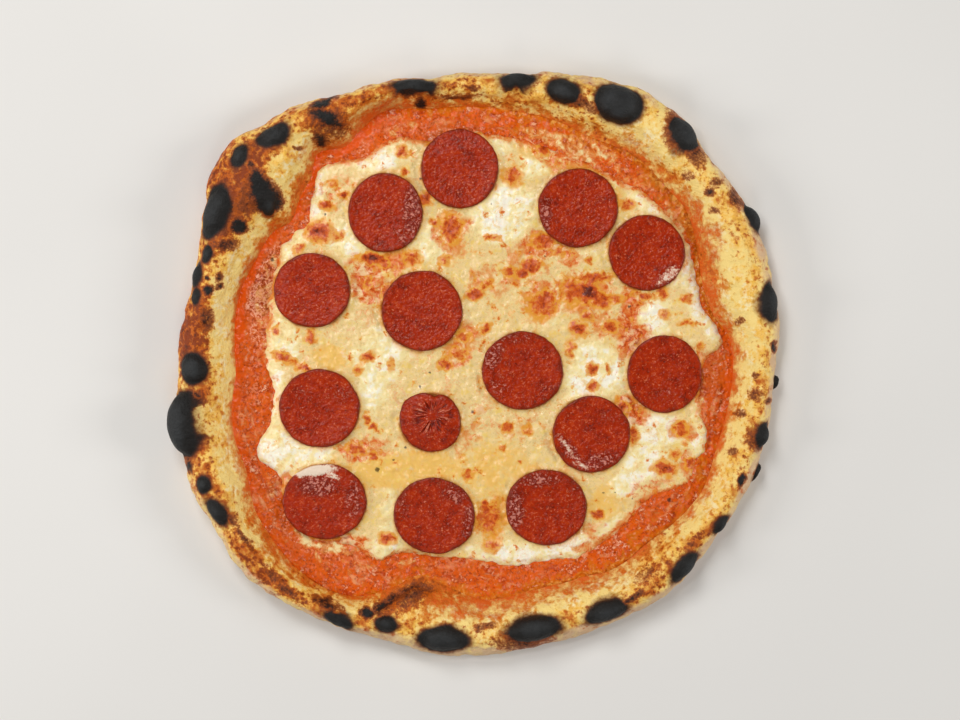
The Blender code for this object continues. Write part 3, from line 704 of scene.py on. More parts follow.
def blended(tree, under, *over):
    """A number or noise with others added to it, each of them (noise, share)."""
    for rough, share in over:
        terms = {0: rough, 1: share, 2: under}
        under = add(tree, "ShaderNodeMath", terms, operation="MULTIPLY_ADD").outputs[0]
    return under


def mottle(tree, place, across, detail=3.0, roughness=0.55, swirl=0.0):
    """Noise of about -1 to 1 in grains that many millimetres across, which a swirl draws out into streaks."""
    look = {"Vector": place, "Scale": 1 / across, "Detail": detail, "Roughness": roughness}
    made = add(tree, "ShaderNodeTexNoise", look | {"Distortion": swirl})
    return blended(tree, -3.0, (made.outputs["Fac"], 6.0))


def dotted(tree, place, apart):
    """1 in the middle of ragged dots, which lie about that many millimetres apart, and less round them."""
    ragged = {"Vector": place, "Scale": 2 / apart, "Detail": 3.0, "Roughness": 0.6}
    push = add(tree, "ShaderNodeTexNoise", ragged).outputs["Color"]
    moved = {0: push, 1: [1.3 * apart] * 3, 2: place}
    pushed = add(tree, "ShaderNodeVectorMath", moved, operation="MULTIPLY_ADD").outputs[0]
    cells = add(tree, "ShaderNodeTexVoronoi", {"Vector": pushed, "Scale": 1 / apart})
    return blended(tree, 1.0, (cells.outputs["Distance"], -3.0))


def coats(tree, first, layers):
    """The colour of layers laid over each other, the first of them all over.

    A layer is (colour, most, field, noise, sway, low, high). It starts where field + sway * noise passes low,
    and from high on it hides that share, most, of what is under it.
    """
    under = (*first, 1.0)
    for colour, most, field, rough, sway, low, high in layers:
        level = blended(tree, field, (rough, sway))
        reach = {"Value": level, "From Min": low, "From Max": high, "To Max": most}
        shown = add(tree, "ShaderNodeMapRange", reach, interpolation_type="SMOOTHSTEP").outputs[0]
        pair = {0: shown, MIX_A: under, MIX_B: (*colour, 1.0)}
        under = add(tree, "ShaderNodeMix", pair, data_type="RGBA").outputs[MIXED]
    return under


class DoughSettings(PropertyGroup):
    """The baked dough."""

    columns: IntProperty(name="Columns", description="Points round the rim", default=980, min=100)
    row_spacing: FloatProperty(
        name="Row spacing",
        description="Distance between rows across the rim",
        default=0.55 * MM,
        unit="LENGTH",
    )
    bump_depth: FloatProperty(
        name="Bump depth",
        description="Height of the rim's bumps, about 9 mm across",
        default=0.9 * MM,
        unit="LENGTH",
    )
    crackle_depth: FloatProperty(
        name="Crackle depth", description="Height of the crackled skin", default=0.2 * MM, unit="LENGTH"
    )
    crease_depth: FloatProperty(
        name="Crease depth",
        description="Depth of the creases between puffs",
        default=0.8 * MM,
        unit="LENGTH",
    )
    crumb: FloatVectorProperty(
        name="Crumb", description="Dough that has not browned", default=linear("#FAD984"), subtype="COLOR"
    )
    golden: FloatVectorProperty(
        name="Golden", description="Lightly browned skin", default=linear("#F9BD4C"), subtype="COLOR"
    )
    rust: FloatVectorProperty(
        name="Rust", description="Well browned skin", default=linear("#C25C0A"), subtype="COLOR"
    )
    brown: FloatVectorProperty(
        name="Brown", description="Freckles of the skin", default=linear("#7E2E06"), subtype="COLOR"
    )
    tan: FloatVectorProperty(
        name="Tan", description="Skin browned all over", default=linear("#D4842E"), subtype="COLOR"
    )
    singed: FloatVectorProperty(
        name="Singed", description="Skin round the burns", default=linear("#7C3A16"), subtype="COLOR"
    )
    dark: FloatVectorProperty(
        name="Dark", description="Skin about to burn", default=linear("#33180E"), subtype="COLOR"
    )
    char: FloatVectorProperty(
        name="Char", description="Burnt blisters", default=linear("#191715"), subtype="COLOR"
    )
    flour: FloatVectorProperty(
        name="Flour", description="Skin dusted with flour", default=linear("#DDB893"), subtype="COLOR"
    )


class SauceSettings(PropertyGroup):
    """The crushed tomato."""

    columns: IntProperty(name="Columns", description="Points round the sauce", default=900, min=100)
    grain_depth: FloatProperty(
        name="Grain depth",
        description="Height of the crushed tomato's grains",
        default=0.45 * MM,
        unit="LENGTH",
    )
    tomato: FloatVectorProperty(
        name="Tomato", description="Crushed tomato", default=linear("#DA560E"), subtype="COLOR"
    )
    deep: FloatVectorProperty(
        name="Deep", description="Clear sauce along its edge", default=linear("#E4540A"), subtype="COLOR"
    )
    skin: FloatVectorProperty(
        name="Skin", description="Dark bits of tomato skin", default=linear("#922B03"), subtype="COLOR"
    )
    pink: FloatVectorProperty(
        name="Pink",
        description="Sauce with milk from the cheese in it",
        default=linear("#D8642C"),
        subtype="COLOR",
    )
    orange: FloatVectorProperty(
        name="Orange", description="Sauce thinned by oil", default=linear("#D26C0A"), subtype="COLOR"
    )


class CheeseSettings(PropertyGroup):
    """The melted mozzarella."""

    columns: IntProperty(name="Columns", description="Points round the cheese", default=800, min=100)
    ring_spacing: FloatProperty(
        name="Ring spacing",
        description="Distance between rings of points",
        default=1.05 * MM,
        unit="LENGTH",
    )
    white_rise: FloatProperty(
        name="White rise", description="How far the white patches stand up", default=0.8 * MM, unit="LENGTH"
    )
    white: FloatVectorProperty(
        name="White", description="Fresh melted cheese", default=linear("#F7E3A6"), subtype="COLOR"
    )
    cream: FloatVectorProperty(
        name="Cream",
        description="Cheese with a little sauce in it",
        default=linear("#EECE8E"),
        subtype="COLOR",
    )
    yellow: FloatVectorProperty(
        name="Yellow", description="Cheese dyed by fat", default=linear("#F0BE60"), subtype="COLOR"
    )
    peach: FloatVectorProperty(
        name="Peach", description="Cheese over tomato", default=linear("#E2924A"), subtype="COLOR"
    )
    golden: FloatVectorProperty(
        name="Golden",
        description="Cheese that is starting to brown",
        default=linear("#E8A038"),
        subtype="COLOR",
    )
    orange: FloatVectorProperty(
        name="Orange", description="Browned cheese", default=linear("#CE500A"), subtype="COLOR"
    )
    brown: FloatVectorProperty(
        name="Brown", description="Well browned cheese", default=linear("#A03204"), subtype="COLOR"
    )
    dark: FloatVectorProperty(
        name="Dark", description="Burnt cheese", default=linear("#581404"), subtype="COLOR"
    )


class PepperoniSettings(PropertyGroup):
    """The pepperoni."""

    columns: IntProperty(name="Columns", description="Points round a slice", default=150, min=24)
    rings: IntProperty(name="Rings", description="Rings of points on a slice's top", default=36, min=8)
    grain_depth: FloatProperty(
        name="Grain depth",
        description="Height of the ground meat's grains",
        default=0.16 * MM,
        unit="LENGTH",
    )
    wrinkle_depth: FloatProperty(
        name="Wrinkle depth",
        description="Height of the wrinkles in wet skin",
        default=0.6 * MM,
        unit="LENGTH",
    )
    meat: FloatVectorProperty(
        name="Meat", description="Cured, smoked meat", default=linear("#A22602"), subtype="COLOR"
    )
    lean: FloatVectorProperty(
        name="Lean", description="Darker grains of lean meat", default=linear("#701402"), subtype="COLOR"
    )
    fat: FloatVectorProperty(
        name="Fat", description="Paler, fatty grains", default=linear("#B83808"), subtype="COLOR"
    )
    speck: FloatVectorProperty(
        name="Speck", description="Beads of fat", default=linear("#D07858"), subtype="COLOR"
    )
    rind: FloatVectorProperty(
        name="Rind", description="The dried edge of a slice", default=linear("#762006"), subtype="COLOR"
    )


class StudioSettings(PropertyGroup):
    """The floor, lights and camera."""

    floor: FloatVectorProperty(
        name="Floor", description="Colour of the floor", default=linear("#E4E1DC"), subtype="COLOR"
    )
    key_power: FloatProperty(
        name="Key", description="Power of the brightest panel", default=14.2, unit="POWER"
    )
    sky_strength: FloatProperty(
        name="Sky", description="Strength of the light from all round", default=0.11
    )
    lens: FloatProperty(name="Lens", description="Focal length in millimetres", default=90.0, unit="CAMERA")
    frame_width: FloatProperty(
        name="Frame width",
        description="Width that the camera sees at the toppings",
        default=508.8 * MM,
        unit="LENGTH",
    )


def dough_rows(spacing):
    """The cross-section, smooth and in close rows where it shows."""
    points = np.array(UPPER_SECTION + UNDER_SECTION, float)
    steps = np.diff(points, axis=0) * (RIM_ACROSS, RIM_UP)
    lengths = np.hypot(*steps.T)
    knots = np.concatenate([[0], np.cumsum(lengths)])
    path = curve_through(knots, points)
    rows = []
    for i, length in enumerate(lengths):
        hidden = min(points[i, 0], points[i + 1, 0]) < 1 or points[i, 1] == points[i + 1, 1]
        count = 2 if hidden else int(np.ceil(length / spacing))
        rows.append(knots[i] + length * np.arange(count) / count)
    places = np.concatenate(rows)[1:]
    section = path(places)
    section[:, 1] = np.clip(section[:, 1], 0, None)
    straight = section[:, 0] < 1
    section[straight, 1] = np.interp(places[straight], knots, points[:, 1])
    return section


def pressed(x, y, folds):
    """How deep the folds go at places."""
    depth = np.zeros_like(x)
    for start, end, half_width, deep in folds:
        start, along = np.array(start, float), np.subtract(end, start).astype(float)
        share = np.clip(((x - start[0]) * along[0] + (y - start[1]) * along[1]) / (along @ along), 0, 1)
        away = np.hypot(x - start[0] - share * along[0], y - start[1] - share * along[1])
        depth = np.maximum(depth, deep * np.exp(-((away / half_width) ** 2)))
    return depth


def swell_blisters(points):
    """Pushes the blisters out of the dough, and tells how burnt each point is: half on an outline."""
    burn = np.zeros(points.shape[:2])
    uneven = 1 + 0.1 * grain(points, BLISTER_BUMP_ACROSS, 2, seed=14.0)
    for centre, half_length, half_width, stand_out, degrees in BLISTERS:
        normal = rim_normal(*centre)
        turn = np.radians(degrees)
        along = Vector((np.cos(turn), np.sin(turn), 0))
        along = (along - normal * along.dot(normal)).normalized()
        side = normal.cross(along)
        depth = 0.55 * half_width
        middle = Vector((*centre, rim_top(*centre))) - normal * depth
        away = points - np.array(middle)
        u, v, w = (away @ np.array(axis) for axis in (along, side, normal))
        share = np.hypot(u / half_length, v / half_width) * uneven
        near = 1 - smooth_step(np.abs(w - depth), 0.8 * half_width, 1.8 * half_width)
        round_off = 1 - share**2
        dome = (depth + stand_out) * np.sign(round_off) * np.sqrt(np.abs(round_off)) - w
        lift = 0.5 * (dome + np.hypot(dome, BLISTER_BLEND)) * (1 - smooth_step(share, 1.0, 1.35))
        points += (near * lift)[..., None] * np.array(normal)
        inside = (1 - share) * min(half_length, half_width)
        halo = min(BURN_HALO, 0.9 * half_width)
        burn = np.maximum(burn, near * np.clip(0.5 + 0.5 * inside / halo, 0, 1))
    return burn


def make_dough(settings):
    """The base and the rim, baked in one piece, with its lumps, folds and burnt blisters."""
    section = dough_rows(settings.row_spacing / MM)
    across, turn = turned_grid(section[:, 0], settings.columns)
    up = np.broadcast_to(section[:, 1][:, None], across.shape)
    radius, height = dough_radius(across, turn), dough_height(across, up, turn)
    points = np.stack([radius * np.cos(turn), radius * np.sin(turn), height], axis=-1)
    on_rim = np.clip((across - 1) / LUMP_FADE_ACROSS, 0, 1) * np.clip(up / LUMP_FADE_UP, 0, 1)
    push = LUMP_PUSH * on_rim * grain(points, LUMP_ACROSS)
    outwards = np.clip((across - CREST) / (2 - CREST), 0, 1)
    points[..., :2] *= (1 + push * outwards / np.maximum(radius, 1))[..., None]
    points[..., 2] += push * (1 - outwards)
    crease = np.exp(-((grain(points, CREASE_ACROSS, 2, seed=21.0) / CREASE_WIDTH) ** 2))
    crease *= np.clip(grain(points, PUFF_ACROSS, seed=2.0) + 0.3, 0, 1)
    relief = settings.bump_depth / MM * grain(points, RIM_BUMP_ACROSS, 3, seed=5.0)
    relief += settings.crackle_depth / MM * grain(points, CRACKLE_ACROSS, 2, seed=9.0)
    relief -= settings.crease_depth / MM * crease
    relief -= pressed(points[..., 0], points[..., 1], FOLDS)
    points += (relief * on_rim)[..., None] * outward(points)
    burn = swell_blisters(points)
    x, y = points[..., 0], points[..., 1]
    ragged_x, ragged_y = wandered(x, y, across=4.5, push=1.5)
    upper = np.clip(up / 0.4, 0, 1)
    crest_share = smooth_step(across, 1.25, 1.6)
    toast_and_crease_shade = (1 - crest_share) * toast_on_slope(turn) + crest_share * toast_on_crest(turn)
    toast_and_crease_shade += covered(ragged_x, ragged_y, TOASTED_PATCHES) - covered(ragged_x, ragged_y, PALE_PATCHES)
    # Painted shade: the folds are darkened as though they were more toasted.
    toast_and_crease_shade += 0.15 * pressed(x, y, FOLDS)
    flour = smooth_step(across, 1.72, 1.93) * flour_on_flank(turn)
    under = (1 - upper) * smooth_step(across, 0, 1)
    fields = {
        "burn": burn,
        "scorch": deepest(ragged_x, ragged_y, SCORCHES) * upper + OUTSIDE * (1 - upper),
        # Painted shade: the creases between puffs are darkened in the same way.
        "toast_and_crease_shade": toast_and_crease_shade * (1 - 0.6 * flour) + 0.1 * under + 0.25 * crease * on_rim,
        "flour": np.where(across > CREST, flour, 0),
        "stain": 1 - np.clip((across - 1.02) / (2 * sauce_stain(turn)), 0, 1),
    }
    return points, fields


def dough_material(settings, sauce):
    """Baked bread dough: a dull, dry skin, freckled where it browned and charcoal black where it burnt."""
    material, tree, place = new_material("baked bread dough")
    patches = mottle(tree, place, 8.0, 4.0)
    freckles = mottle(tree, place, 2.4, 4.0, 0.6)
    specks = mottle(tree, place, 1.1, 2.0, 0.6)
    toast_and_crease_shade, burn, scorch, flour, stain = (
        add(tree, "ShaderNodeAttribute", attribute_name=name).outputs["Fac"]
        for name in ("toast_and_crease_shade", "burn", "scorch", "flour", "stain")
    )
    mottled = blended(tree, patches, (freckles, 0.5))
    spotted = blended(tree, mottled, (specks, 0.5))
    flecked = blended(tree, freckles, (specks, 0.7))
    spots = blended(tree, dotted(tree, place, 5.5), (mottled, 0.8))
    dots = blended(tree, dotted(tree, place, 2.9), (freckles, 0.7))
    layers = [
        (linear("#FDEBB8"), 0.9, patches, freckles, -0.5, -0.2, 1.2),
        (settings.golden, 0.9, toast_and_crease_shade, mottled, 0.3, 0.15, 0.6),
        (linear("#F5BC42"), 0.6, freckles, patches, 0.7, -0.1, 1.1),
        (linear("#C78A2C"), 0.55, flecked, toast_and_crease_shade, 1.2, 0.9, 1.8),
        (settings.tan, 0.85, toast_and_crease_shade, patches, 0.3, 0.5, 0.95),
        (linear("#9C5420"), 0.85, toast_and_crease_shade, freckles, 0.22, 0.72, 1.02),
        (settings.flour, 0.9, flour, mottled, 0.25, 0.3, 0.9),
        (sauce.orange, 0.8, stain, mottled, 0.3, 0.3, 0.8),
        (sauce.tomato, 0.85, stain, spotted, 0.3, 0.64, 1.08),
        (settings.rust, 0.8, toast_and_crease_shade, spots, 0.36, 0.4, 0.85),
        (settings.brown, 0.7, toast_and_crease_shade, spots, 0.36, 0.86, 1.25),
        (settings.rust, 0.75, toast_and_crease_shade, dots, 0.24, 0.4, 0.64),
        (settings.brown, 0.85, toast_and_crease_shade, dots, 0.28, 0.62, 0.84),
        (settings.dark, 0.6, toast_and_crease_shade, spots, 0.34, 1.05, 1.35),
        (settings.singed, 0.8, burn, mottled, 0.08, 0.13, 0.44),
        (settings.dark, 0.92, burn, mottled, 0.05, 0.34, 0.5),
        (settings.rust, 0.65, scorch, flecked, 0.16, -0.1, 0.2),
        (settings.singed, 0.88, scorch, flecked, 0.18, 0.06, 0.38),
        (settings.dark, 0.9, scorch, flecked, 0.13, 0.36, 0.62),
        (settings.char, 1.0, scorch, flecked, 0.07, 0.5, 0.72),
        (settings.char, 1.0, burn, mottled, 0.03, 0.44, 0.56),
        # A grey patch in the middle of each blister: partly ash and partly a painted sheen.
        (linear("#383A3B"), 0.55, burn, mottled, 0.12, 0.65, 1.15),
    ]
    colour = coats(tree, settings.crumb, layers)
    char = {"Value": burn, "From Min": 0.3, "From Max": 0.55, "To Min": 0.5, "To Max": 0.54}
    dull = add(tree, "ShaderNodeMapRange", char).outputs[0]
    bump = add(tree, "ShaderNodeBump", {"Strength": 0.9, "Distance": 0.2 * MM, "Height": spotted}).outputs[0]
    surface = {"Base Color": colour, "Roughness": dull, "Normal": bump}
    connect(tree, tree.nodes["Principled BSDF"], surface | {"IOR": 1.4, "Specular IOR Level": 0.34})
    return material


def make_sauce(settings):
    """The crushed tomato, which shows between the cheese and the rim."""
    shares = np.concatenate([[0.02, 0.3, 0.55], np.linspace(0.66, 1.0, 66), [1.0, 0.5]])
    share, turn = turned_grid(shares, settings.columns)
    foot = foot_radius(turn)
    reach = foot + SAUCE_CLIMB * (outer_radius(turn) - foot)
    radius = share * reach
    inside = reach - radius
    x, y = radius * np.cos(turn), radius * np.sin(turn)
    points = flat_points(x, y, SAUCE_TOP)
    sway = 1.5 * grain(points, 8.0, 3, seed=33.0)
    clear = clear_sauce(turn) * (1 - smooth_step(inside + 1.5 * sway, 3, 7.5))
    pulp = grain(points, TOMATO_PULP_ACROSS, 2, seed=2.0)
    pulp += 0.8 * grain(points, TOMATO_LUMP_ACROSS, 2, seed=4.0)
    relief = settings.grain_depth / MM * pulp * (1 - 0.8 * clear)
    points[..., 2] += relief * smooth_step(inside, 1.5, 5) - 0.3 * (1 - smooth_step(inside, 0, 2.5))
    points[-2:, :, 2] = SAUCE_LEVEL
    ragged_x, ragged_y = wandered(x, y, across=7.0, push=2.5)
    along_x, along_y = STREAKS_IN_RADIAN * np.cos(turn), STREAKS_IN_RADIAN * np.sin(turn)
    along_rim = np.stack([along_x, along_y, (radius + 2 * sway) / STREAK_ACROSS], axis=-1)
    # Where the oil is highest, along the rim, the material also paints a band of shade at the seam with the
    # dough.
    oil = oily_sauce(turn) * (1 - smooth_step(inside + 2 * sway, 3, 10))
    oil += 0.45 * (1 - clear_sauce(turn)) * (1 - smooth_step(inside + sway, 0, 4))
    fields = {
        "clear": clear,
        "thin": grain(along_rim, 1.0, 2, seed=5.0),
        "thick": grain(along_rim, 1.0, 2, seed=17.0),
        "pink": covered(ragged_x, ragged_y, PINK_SAUCE),
        "oil": np.clip(np.maximum(oil, covered(ragged_x, ragged_y, OILY_PATCHES)), 0, 0.95),
        "streak": covered(ragged_x, ragged_y, STREAKS),
        "crumb": crumbs_at(x, y, CRUMBS),
    }
    return points, fields


def sauce_material(settings, cheese):
    """Crushed cooked tomato: wet and grainy, so it glistens in small points, and clear along the dough."""
    material, tree, place = new_material("crushed tomato sauce")
    clots = mottle(tree, place, 7.0, 4.0, 0.6, 1.2)
    pulp = mottle(tree, place, 3.2, 4.0, 0.65, 1.0)
    grains = mottle(tree, place, 1.1, 3.0, 0.65)
    clear, thin, thick, pink, oil, streak, crumb = (
        add(tree, "ShaderNodeAttribute", attribute_name=name).outputs["Fac"]
        for name in ("clear", "thin", "thick", "pink", "oil", "streak", "crumb")
    )
    mottled = blended(tree, clots, (pulp, 0.6))
    grainy = blended(tree, pulp, (grains, 0.9))
    layers = [
        (linear("#F0701A"), 0.9, clots, pulp, 0.8, -0.2, 0.75),
        (settings.skin, 0.9, pulp, clots, -0.9, 0.0, 0.8),
        (linear("#B83C06"), 0.6, clots, pulp, 0.4, 0.15, 0.8),
        (linear("#A83006"), 0.75, thick, pulp, 0.2, 0.14, 0.65),
        (linear("#E89A66"), 0.8, thin, pulp, 0.25, 0.2, 0.75),
        (settings.pink, 0.85, grainy, clots, -1.0, 0.3, 1.1),
        # Painted highlights: small pale glints on the grains of pulp.
        (linear("#EFBC96"), 0.8, grainy, clots, -1.0, 1.0, 1.8),
        (linear("#6E1C06"), 0.7, grainy, pulp, -1.8, 0.6, 1.5),
        (settings.pink, 0.9, pink, grainy, 0.3, 0.25, 0.8),
        (linear("#F0AE8C"), 0.85, pink, grainy, 0.45, 0.85, 1.3),
        (settings.skin, 0.85, pink, grainy, -0.45, 0.85, 1.3),
        (settings.deep, 0.94, clear, mottled, 0.2, 0.2, 0.8),
        (settings.skin, 0.4, clear, grainy, -0.4, 1.0, 1.6),
        (settings.orange, 0.85, oil, mottled, 0.4, 0.3, 0.9),
        (cheese.yellow, 0.5, oil, mottled, 0.4, 0.85, 1.4),
        # Painted shade: a dark brown band at the seam with the rim, where the oil is highest.
        (linear("#A0440A"), 0.75, oil, pulp, -0.4, 0.8, 1.3),
        (cheese.peach, 0.8, streak, mottled, 0.4, 0.25, 0.9),
        (cheese.white, 0.85, streak, mottled, 0.45, 0.7, 1.3),
        (linear("#3B130A"), 0.6, grainy, grains, 0.5, 2.0, 2.6),
        (linear("#2C1A0A"), 0.8, crumb, grains, 0.22, 0.4, 0.75),
    ]
    colour = coats(tree, settings.tomato, layers)
    lumps = mottle(tree, place, 3.4, 1.0, 0.4)
    height = blended(tree, lumps, (grains, 0.08))
    bump = add(tree, "ShaderNodeBump", {"Strength": 1.0, "Distance": 0.4 * MM, "Height": height}).outputs[0]
    surface = {"Base Color": colour, "Roughness": 0.13, "Normal": bump}
    connect(tree, tree.nodes["Principled BSDF"], surface | {"IOR": 1.36, "Specular IOR Level": 0.36})
    return material


def make_cheese(settings):
    """The mozzarella, melted into one sheet that has crept up round the slices."""
    ring_count = int(CHEESE_REACH * MM / settings.ring_spacing)
    shares = np.concatenate([np.linspace(1 / ring_count, 1, ring_count), [1.0, 0.5]])
    share, turn = turned_grid(shares, settings.columns)
    edge = cheese_radius(turn)
    edge = edge + 1.6 * grain(flat_points(edge * np.cos(turn), edge * np.sin(turn)), 7.0, 3)
    radius = share * edge
    inside = edge - radius
    x, y = radius * np.cos(turn), radius * np.sin(turn)
    places = flat_points(x, y)
    wide_x, wide_y = wandered(x, y, across=9.0, push=3.2)
    near_x, near_y = wandered(x, y, across=3.6, push=1.7, seed=20.0)
    white = covered(wide_x, wide_y, WHITE_PATCHES)
    tomato = covered(wide_x, wide_y, TOMATO_PATCHES)
    brown = deepest(near_x, near_y, BROWN_SPOTS)
    apart = beyond_slices(x, y)
    creep = np.exp(-((np.clip(apart, 0, None) / CREEP_ACROSS) ** 2)) * smooth_step(apart, -1.2, -0.2)
    relief = 0.6 * grain(places, CHEESE_LUMP_ACROSS, 2, seed=1.0)
    relief += 0.2 * grain(places, CHEESE_CURD_ACROSS, seed=6.0)
    relief += settings.white_rise / MM * white * (1 - 0.7 * tomato)
    relief += 0.2 * smooth_step(brown, 0.3, 0.5) - 0.3 * smooth_step(tomato, 0.3, 0.8)
    relief = relief * smooth_step(apart, -1.5, 0.5) + creep
    height = cheese_top(x, y) + relief * smooth_step(inside, 0, 3)
    height -= (CHEESE_EDGE_THICKNESS + 0.2) * (1 - smooth_step(inside, 0, 2.5))
    height[-2:] = CHEESE_LEVEL - 0.8
    at_edge = (1 - smooth_step(inside, 0, 6)) * (1 - white_edge(turn))
    fields = {
        "white": np.maximum(white, white_edge(turn) * (1 - smooth_step(inside, 4, 12))),
        "yellow": covered(wide_x, wide_y, YELLOW_PATCHES),
        "tomato": np.maximum(tomato, 0.8 * at_edge),
        "brown": brown,
        "crumb": crumbs_at(x, y, CRUMBS),
        "apart": apart,
    }
    return np.stack([x, y, height], axis=-1), fields


def cheese_material(settings, sauce):
    """Melted mozzarella: milky, so light goes a little way in, oily where fat ran, and browned in spots."""
    material, tree, place = new_material("melted mozzarella")
    patches = mottle(tree, place, 9.0, 4.0, 0.6, 0.8)
    curds = mottle(tree, place, 3.4, 4.0, 0.65, 0.6)
    grains = mottle(tree, place, 1.2, 3.0, 0.65)
    white, yellow, tomato, brown, crumb, apart = (
        add(tree, "ShaderNodeAttribute", attribute_name=name).outputs["Fac"]
        for name in ("white", "yellow", "tomato", "brown", "crumb", "apart")
    )
    mottled = blended(tree, patches, (curds, 0.7))
    soft = blended(tree, curds, (grains, 0.4))
    dots = blended(tree, dotted(tree, place, 6.5), (mottled, 0.3))
    layers = [
        (linear("#F5E3A8"), 0.85, curds, patches, 0.6, -0.1, 0.9),
        (linear("#CDB26E"), 0.55, grains, curds, -0.7, 0.3, 1.2),
        (settings.peach, 0.7, mottled, grains, -0.6, 0.1, 1.2),
        (settings.yellow, 0.9, yellow, mottled, 0.25, 0.25, 0.85),
        (linear("#EEC862"), 0.75, curds, patches, -0.7, 0.2, 1.2),
        (settings.white, 0.95, white, mottled, 0.3, 0.2, 0.7),
        (linear("#FDF6E4"), 0.9, white, mottled, 0.5, 0.6, 1.25),
        (linear("#E6B068"), 0.5, white, soft, -0.6, 1.0, 1.7),
        # Painted highlights: small pale glints scattered over the cheese.
        (linear("#F6E7C6"), 0.45, curds, patches, 0.5, 0.6, 1.5),
        (settings.peach, 0.95, tomato, mottled, 0.28, 0.2, 0.7),
        (sauce.tomato, 0.9, tomato, soft, 0.36, 0.45, 1.0),
        (sauce.skin, 0.75, tomato, soft, 0.4, 0.85, 1.35),
        (linear("#F6D3A0"), 0.75, tomato, mottled, -0.42, 0.8, 1.3),
        (linear("#6C5A30"), 0.5, grains, patches, 0.4, 1.6, 2.3),
        (settings.golden, 0.8, dots, mottled, 0.14, 0.15, 0.7),
        (settings.orange, 0.8, dots, mottled, 0.14, 0.6, 0.95),
        (settings.golden, 0.65, apart, mottled, -1.4, 3.0, -0.5),
        (linear("#A8521A"), 0.75, apart, mottled, -0.5, 1.2, -0.2),
        (settings.golden, 0.88, brown, mottled, 0.22, -0.16, 0.28),
        (settings.orange, 0.92, brown, soft, 0.2, 0.22, 0.62),
        (settings.brown, 0.8, brown, soft, 0.28, 0.52, 0.88),
        (linear("#EBA050"), 0.5, brown, grains, -0.4, 1.0, 1.4),
        (settings.dark, 0.92, brown, soft, 0.2, 0.76, 1.0),
        (linear("#2C1A0A"), 0.8, crumb, grains, 0.22, 0.4, 0.75),
    ]
    colour = coats(tree, settings.cream, layers)
    lumps = mottle(tree, place, 4.2, 1.5, 0.4)
    height = blended(tree, lumps, (grains, 0.12))
    bump = add(tree, "ShaderNodeBump", {"Strength": 0.9, "Distance": 0.28 * MM, "Height": height}).outputs[0]
    crust = {"Value": brown, "From Min": 0.3, "From Max": 0.6, "To Min": 0.18, "To Max": 0.36}
    dull = add(tree, "ShaderNodeMapRange", crust).outputs[0]
    surface = {"Base Color": colour, "Roughness": dull, "Normal": bump}
    surface |= {"IOR": 1.44, "Specular IOR Level": 0.4}
    milk = {"Subsurface Weight": 0.15, "Subsurface Radius": (1.0, 0.6, 0.3), "Subsurface Scale": 0.8 * MM}
    connect(tree, tree.nodes["Principled BSDF"], surface | milk)
    return material


def make_slice(piece, thickness, curl, settings, end_piece=False):
    """A slice that sagged onto the cheese, with ground meat's grain and wet, wrinkled places."""
    (middle_x, middle_y), width, length, degrees = piece
    rings = settings.rings
    shares = np.concatenate([np.linspace(1 / rings, SLICE_TOP, rings), [share for share, _ in SLICE_SIDE]])
    ups = np.concatenate([np.ones(rings - 2), SLICE_ROUNDING, [up for _, up in SLICE_SIDE]])
    share, angle = turned_grid(shares, settings.columns * 2 if end_piece else settings.columns)
    uneven = 1 + 0.025 * grain(2.5 * flat_points(np.cos(angle), np.sin(angle)) + middle_x, 1.0, 4)
    if end_piece:
        uneven *= end_outline(angle)
    turn = np.radians(degrees)
    along = share * uneven * width / 2 * np.cos(angle)
    over = share * uneven * length / 2 * np.sin(angle)
    x = middle_x + along * np.cos(turn) - over * np.sin(turn)
    y = middle_y + along * np.sin(turn) + over * np.cos(turn)
    up = np.broadcast_to(ups[:, None], share.shape)
    places = flat_points(x, y, SLICE_NOISE_LEVEL)
    ragged_x, ragged_y = wandered(x, y, across=4.0, push=1.0, seed=40.0)
    wet = covered(ragged_x, ragged_y, WET_SKIN)
    run_over = deepest(ragged_x, ragged_y, RUN_OVER)
    relief = settings.grain_depth / MM * grain(places, MEAT_GRAIN_ACROSS, 2, seed=3.0)
    relief += settings.wrinkle_depth / MM * wet * grain(places, WRINKLE_ACROSS, 2, seed=8.0)
    relief += 0.7 * smooth_step(run_over, 0.35, 0.6)
    folds = knot_folds(x, y) if end_piece else 0 * x
    relief += 0.55 * folds
    if end_piece:
        relief += knot_dome(x, y)
    resting = cheese_top(x, y) - SLICE_SINKS + curl * share**3
    height = resting + up * (thickness + 0.4) + relief * smooth_step(up, 0.5, 0.95)
    fields = {
        "edge": np.where(up > 0.9, share, 1.05),
        "wet": np.maximum(wet, 0.2 * np.abs(folds)),
        "run_over": run_over,
        # The ridges and grooves are for painted highlights and painted shade.
        "ridge": np.clip(folds, 0, None),
        "groove": np.clip(-folds, 0, None),
    }
    return np.stack([x, y, height], axis=-1), fields


def knot_folds(x, y):
    """The wrinkles that fan out from the knot of a sausage's end: 1 on a ridge and -1 in a groove."""
    from_knot = np.hypot(x - KNOT[0], y - KNOT[1])
    turn = np.arctan2(y - KNOT[1], x - KNOT[0])
    around = np.stack([7 * np.cos(turn), 7 * np.sin(turn), from_knot / 7], axis=-1)
    folds = np.clip(2.4 * grain(around, 1.0, 2, seed=2.0), -1, 1)
    reach = 11 + 5 * grain(around, 5.0, seed=9.0)
    return folds * smooth_step(from_knot, 1, 4.5) * (1 - smooth_step(from_knot, 0.55 * reach, 1.3 * reach))


def knot_dome(x, y):
    """How the end piece falls away from its knot, with a notch in its far edge."""
    from_knot = np.hypot(x - KNOT[0], y - KNOT[1])
    notch = np.exp(-((x - NOTCH[0]) ** 2 / 4 + (y - NOTCH[1]) ** 2 / 6))
    return -1.6 * smooth_step(from_knot, 7, 22) - 1.5 * notch


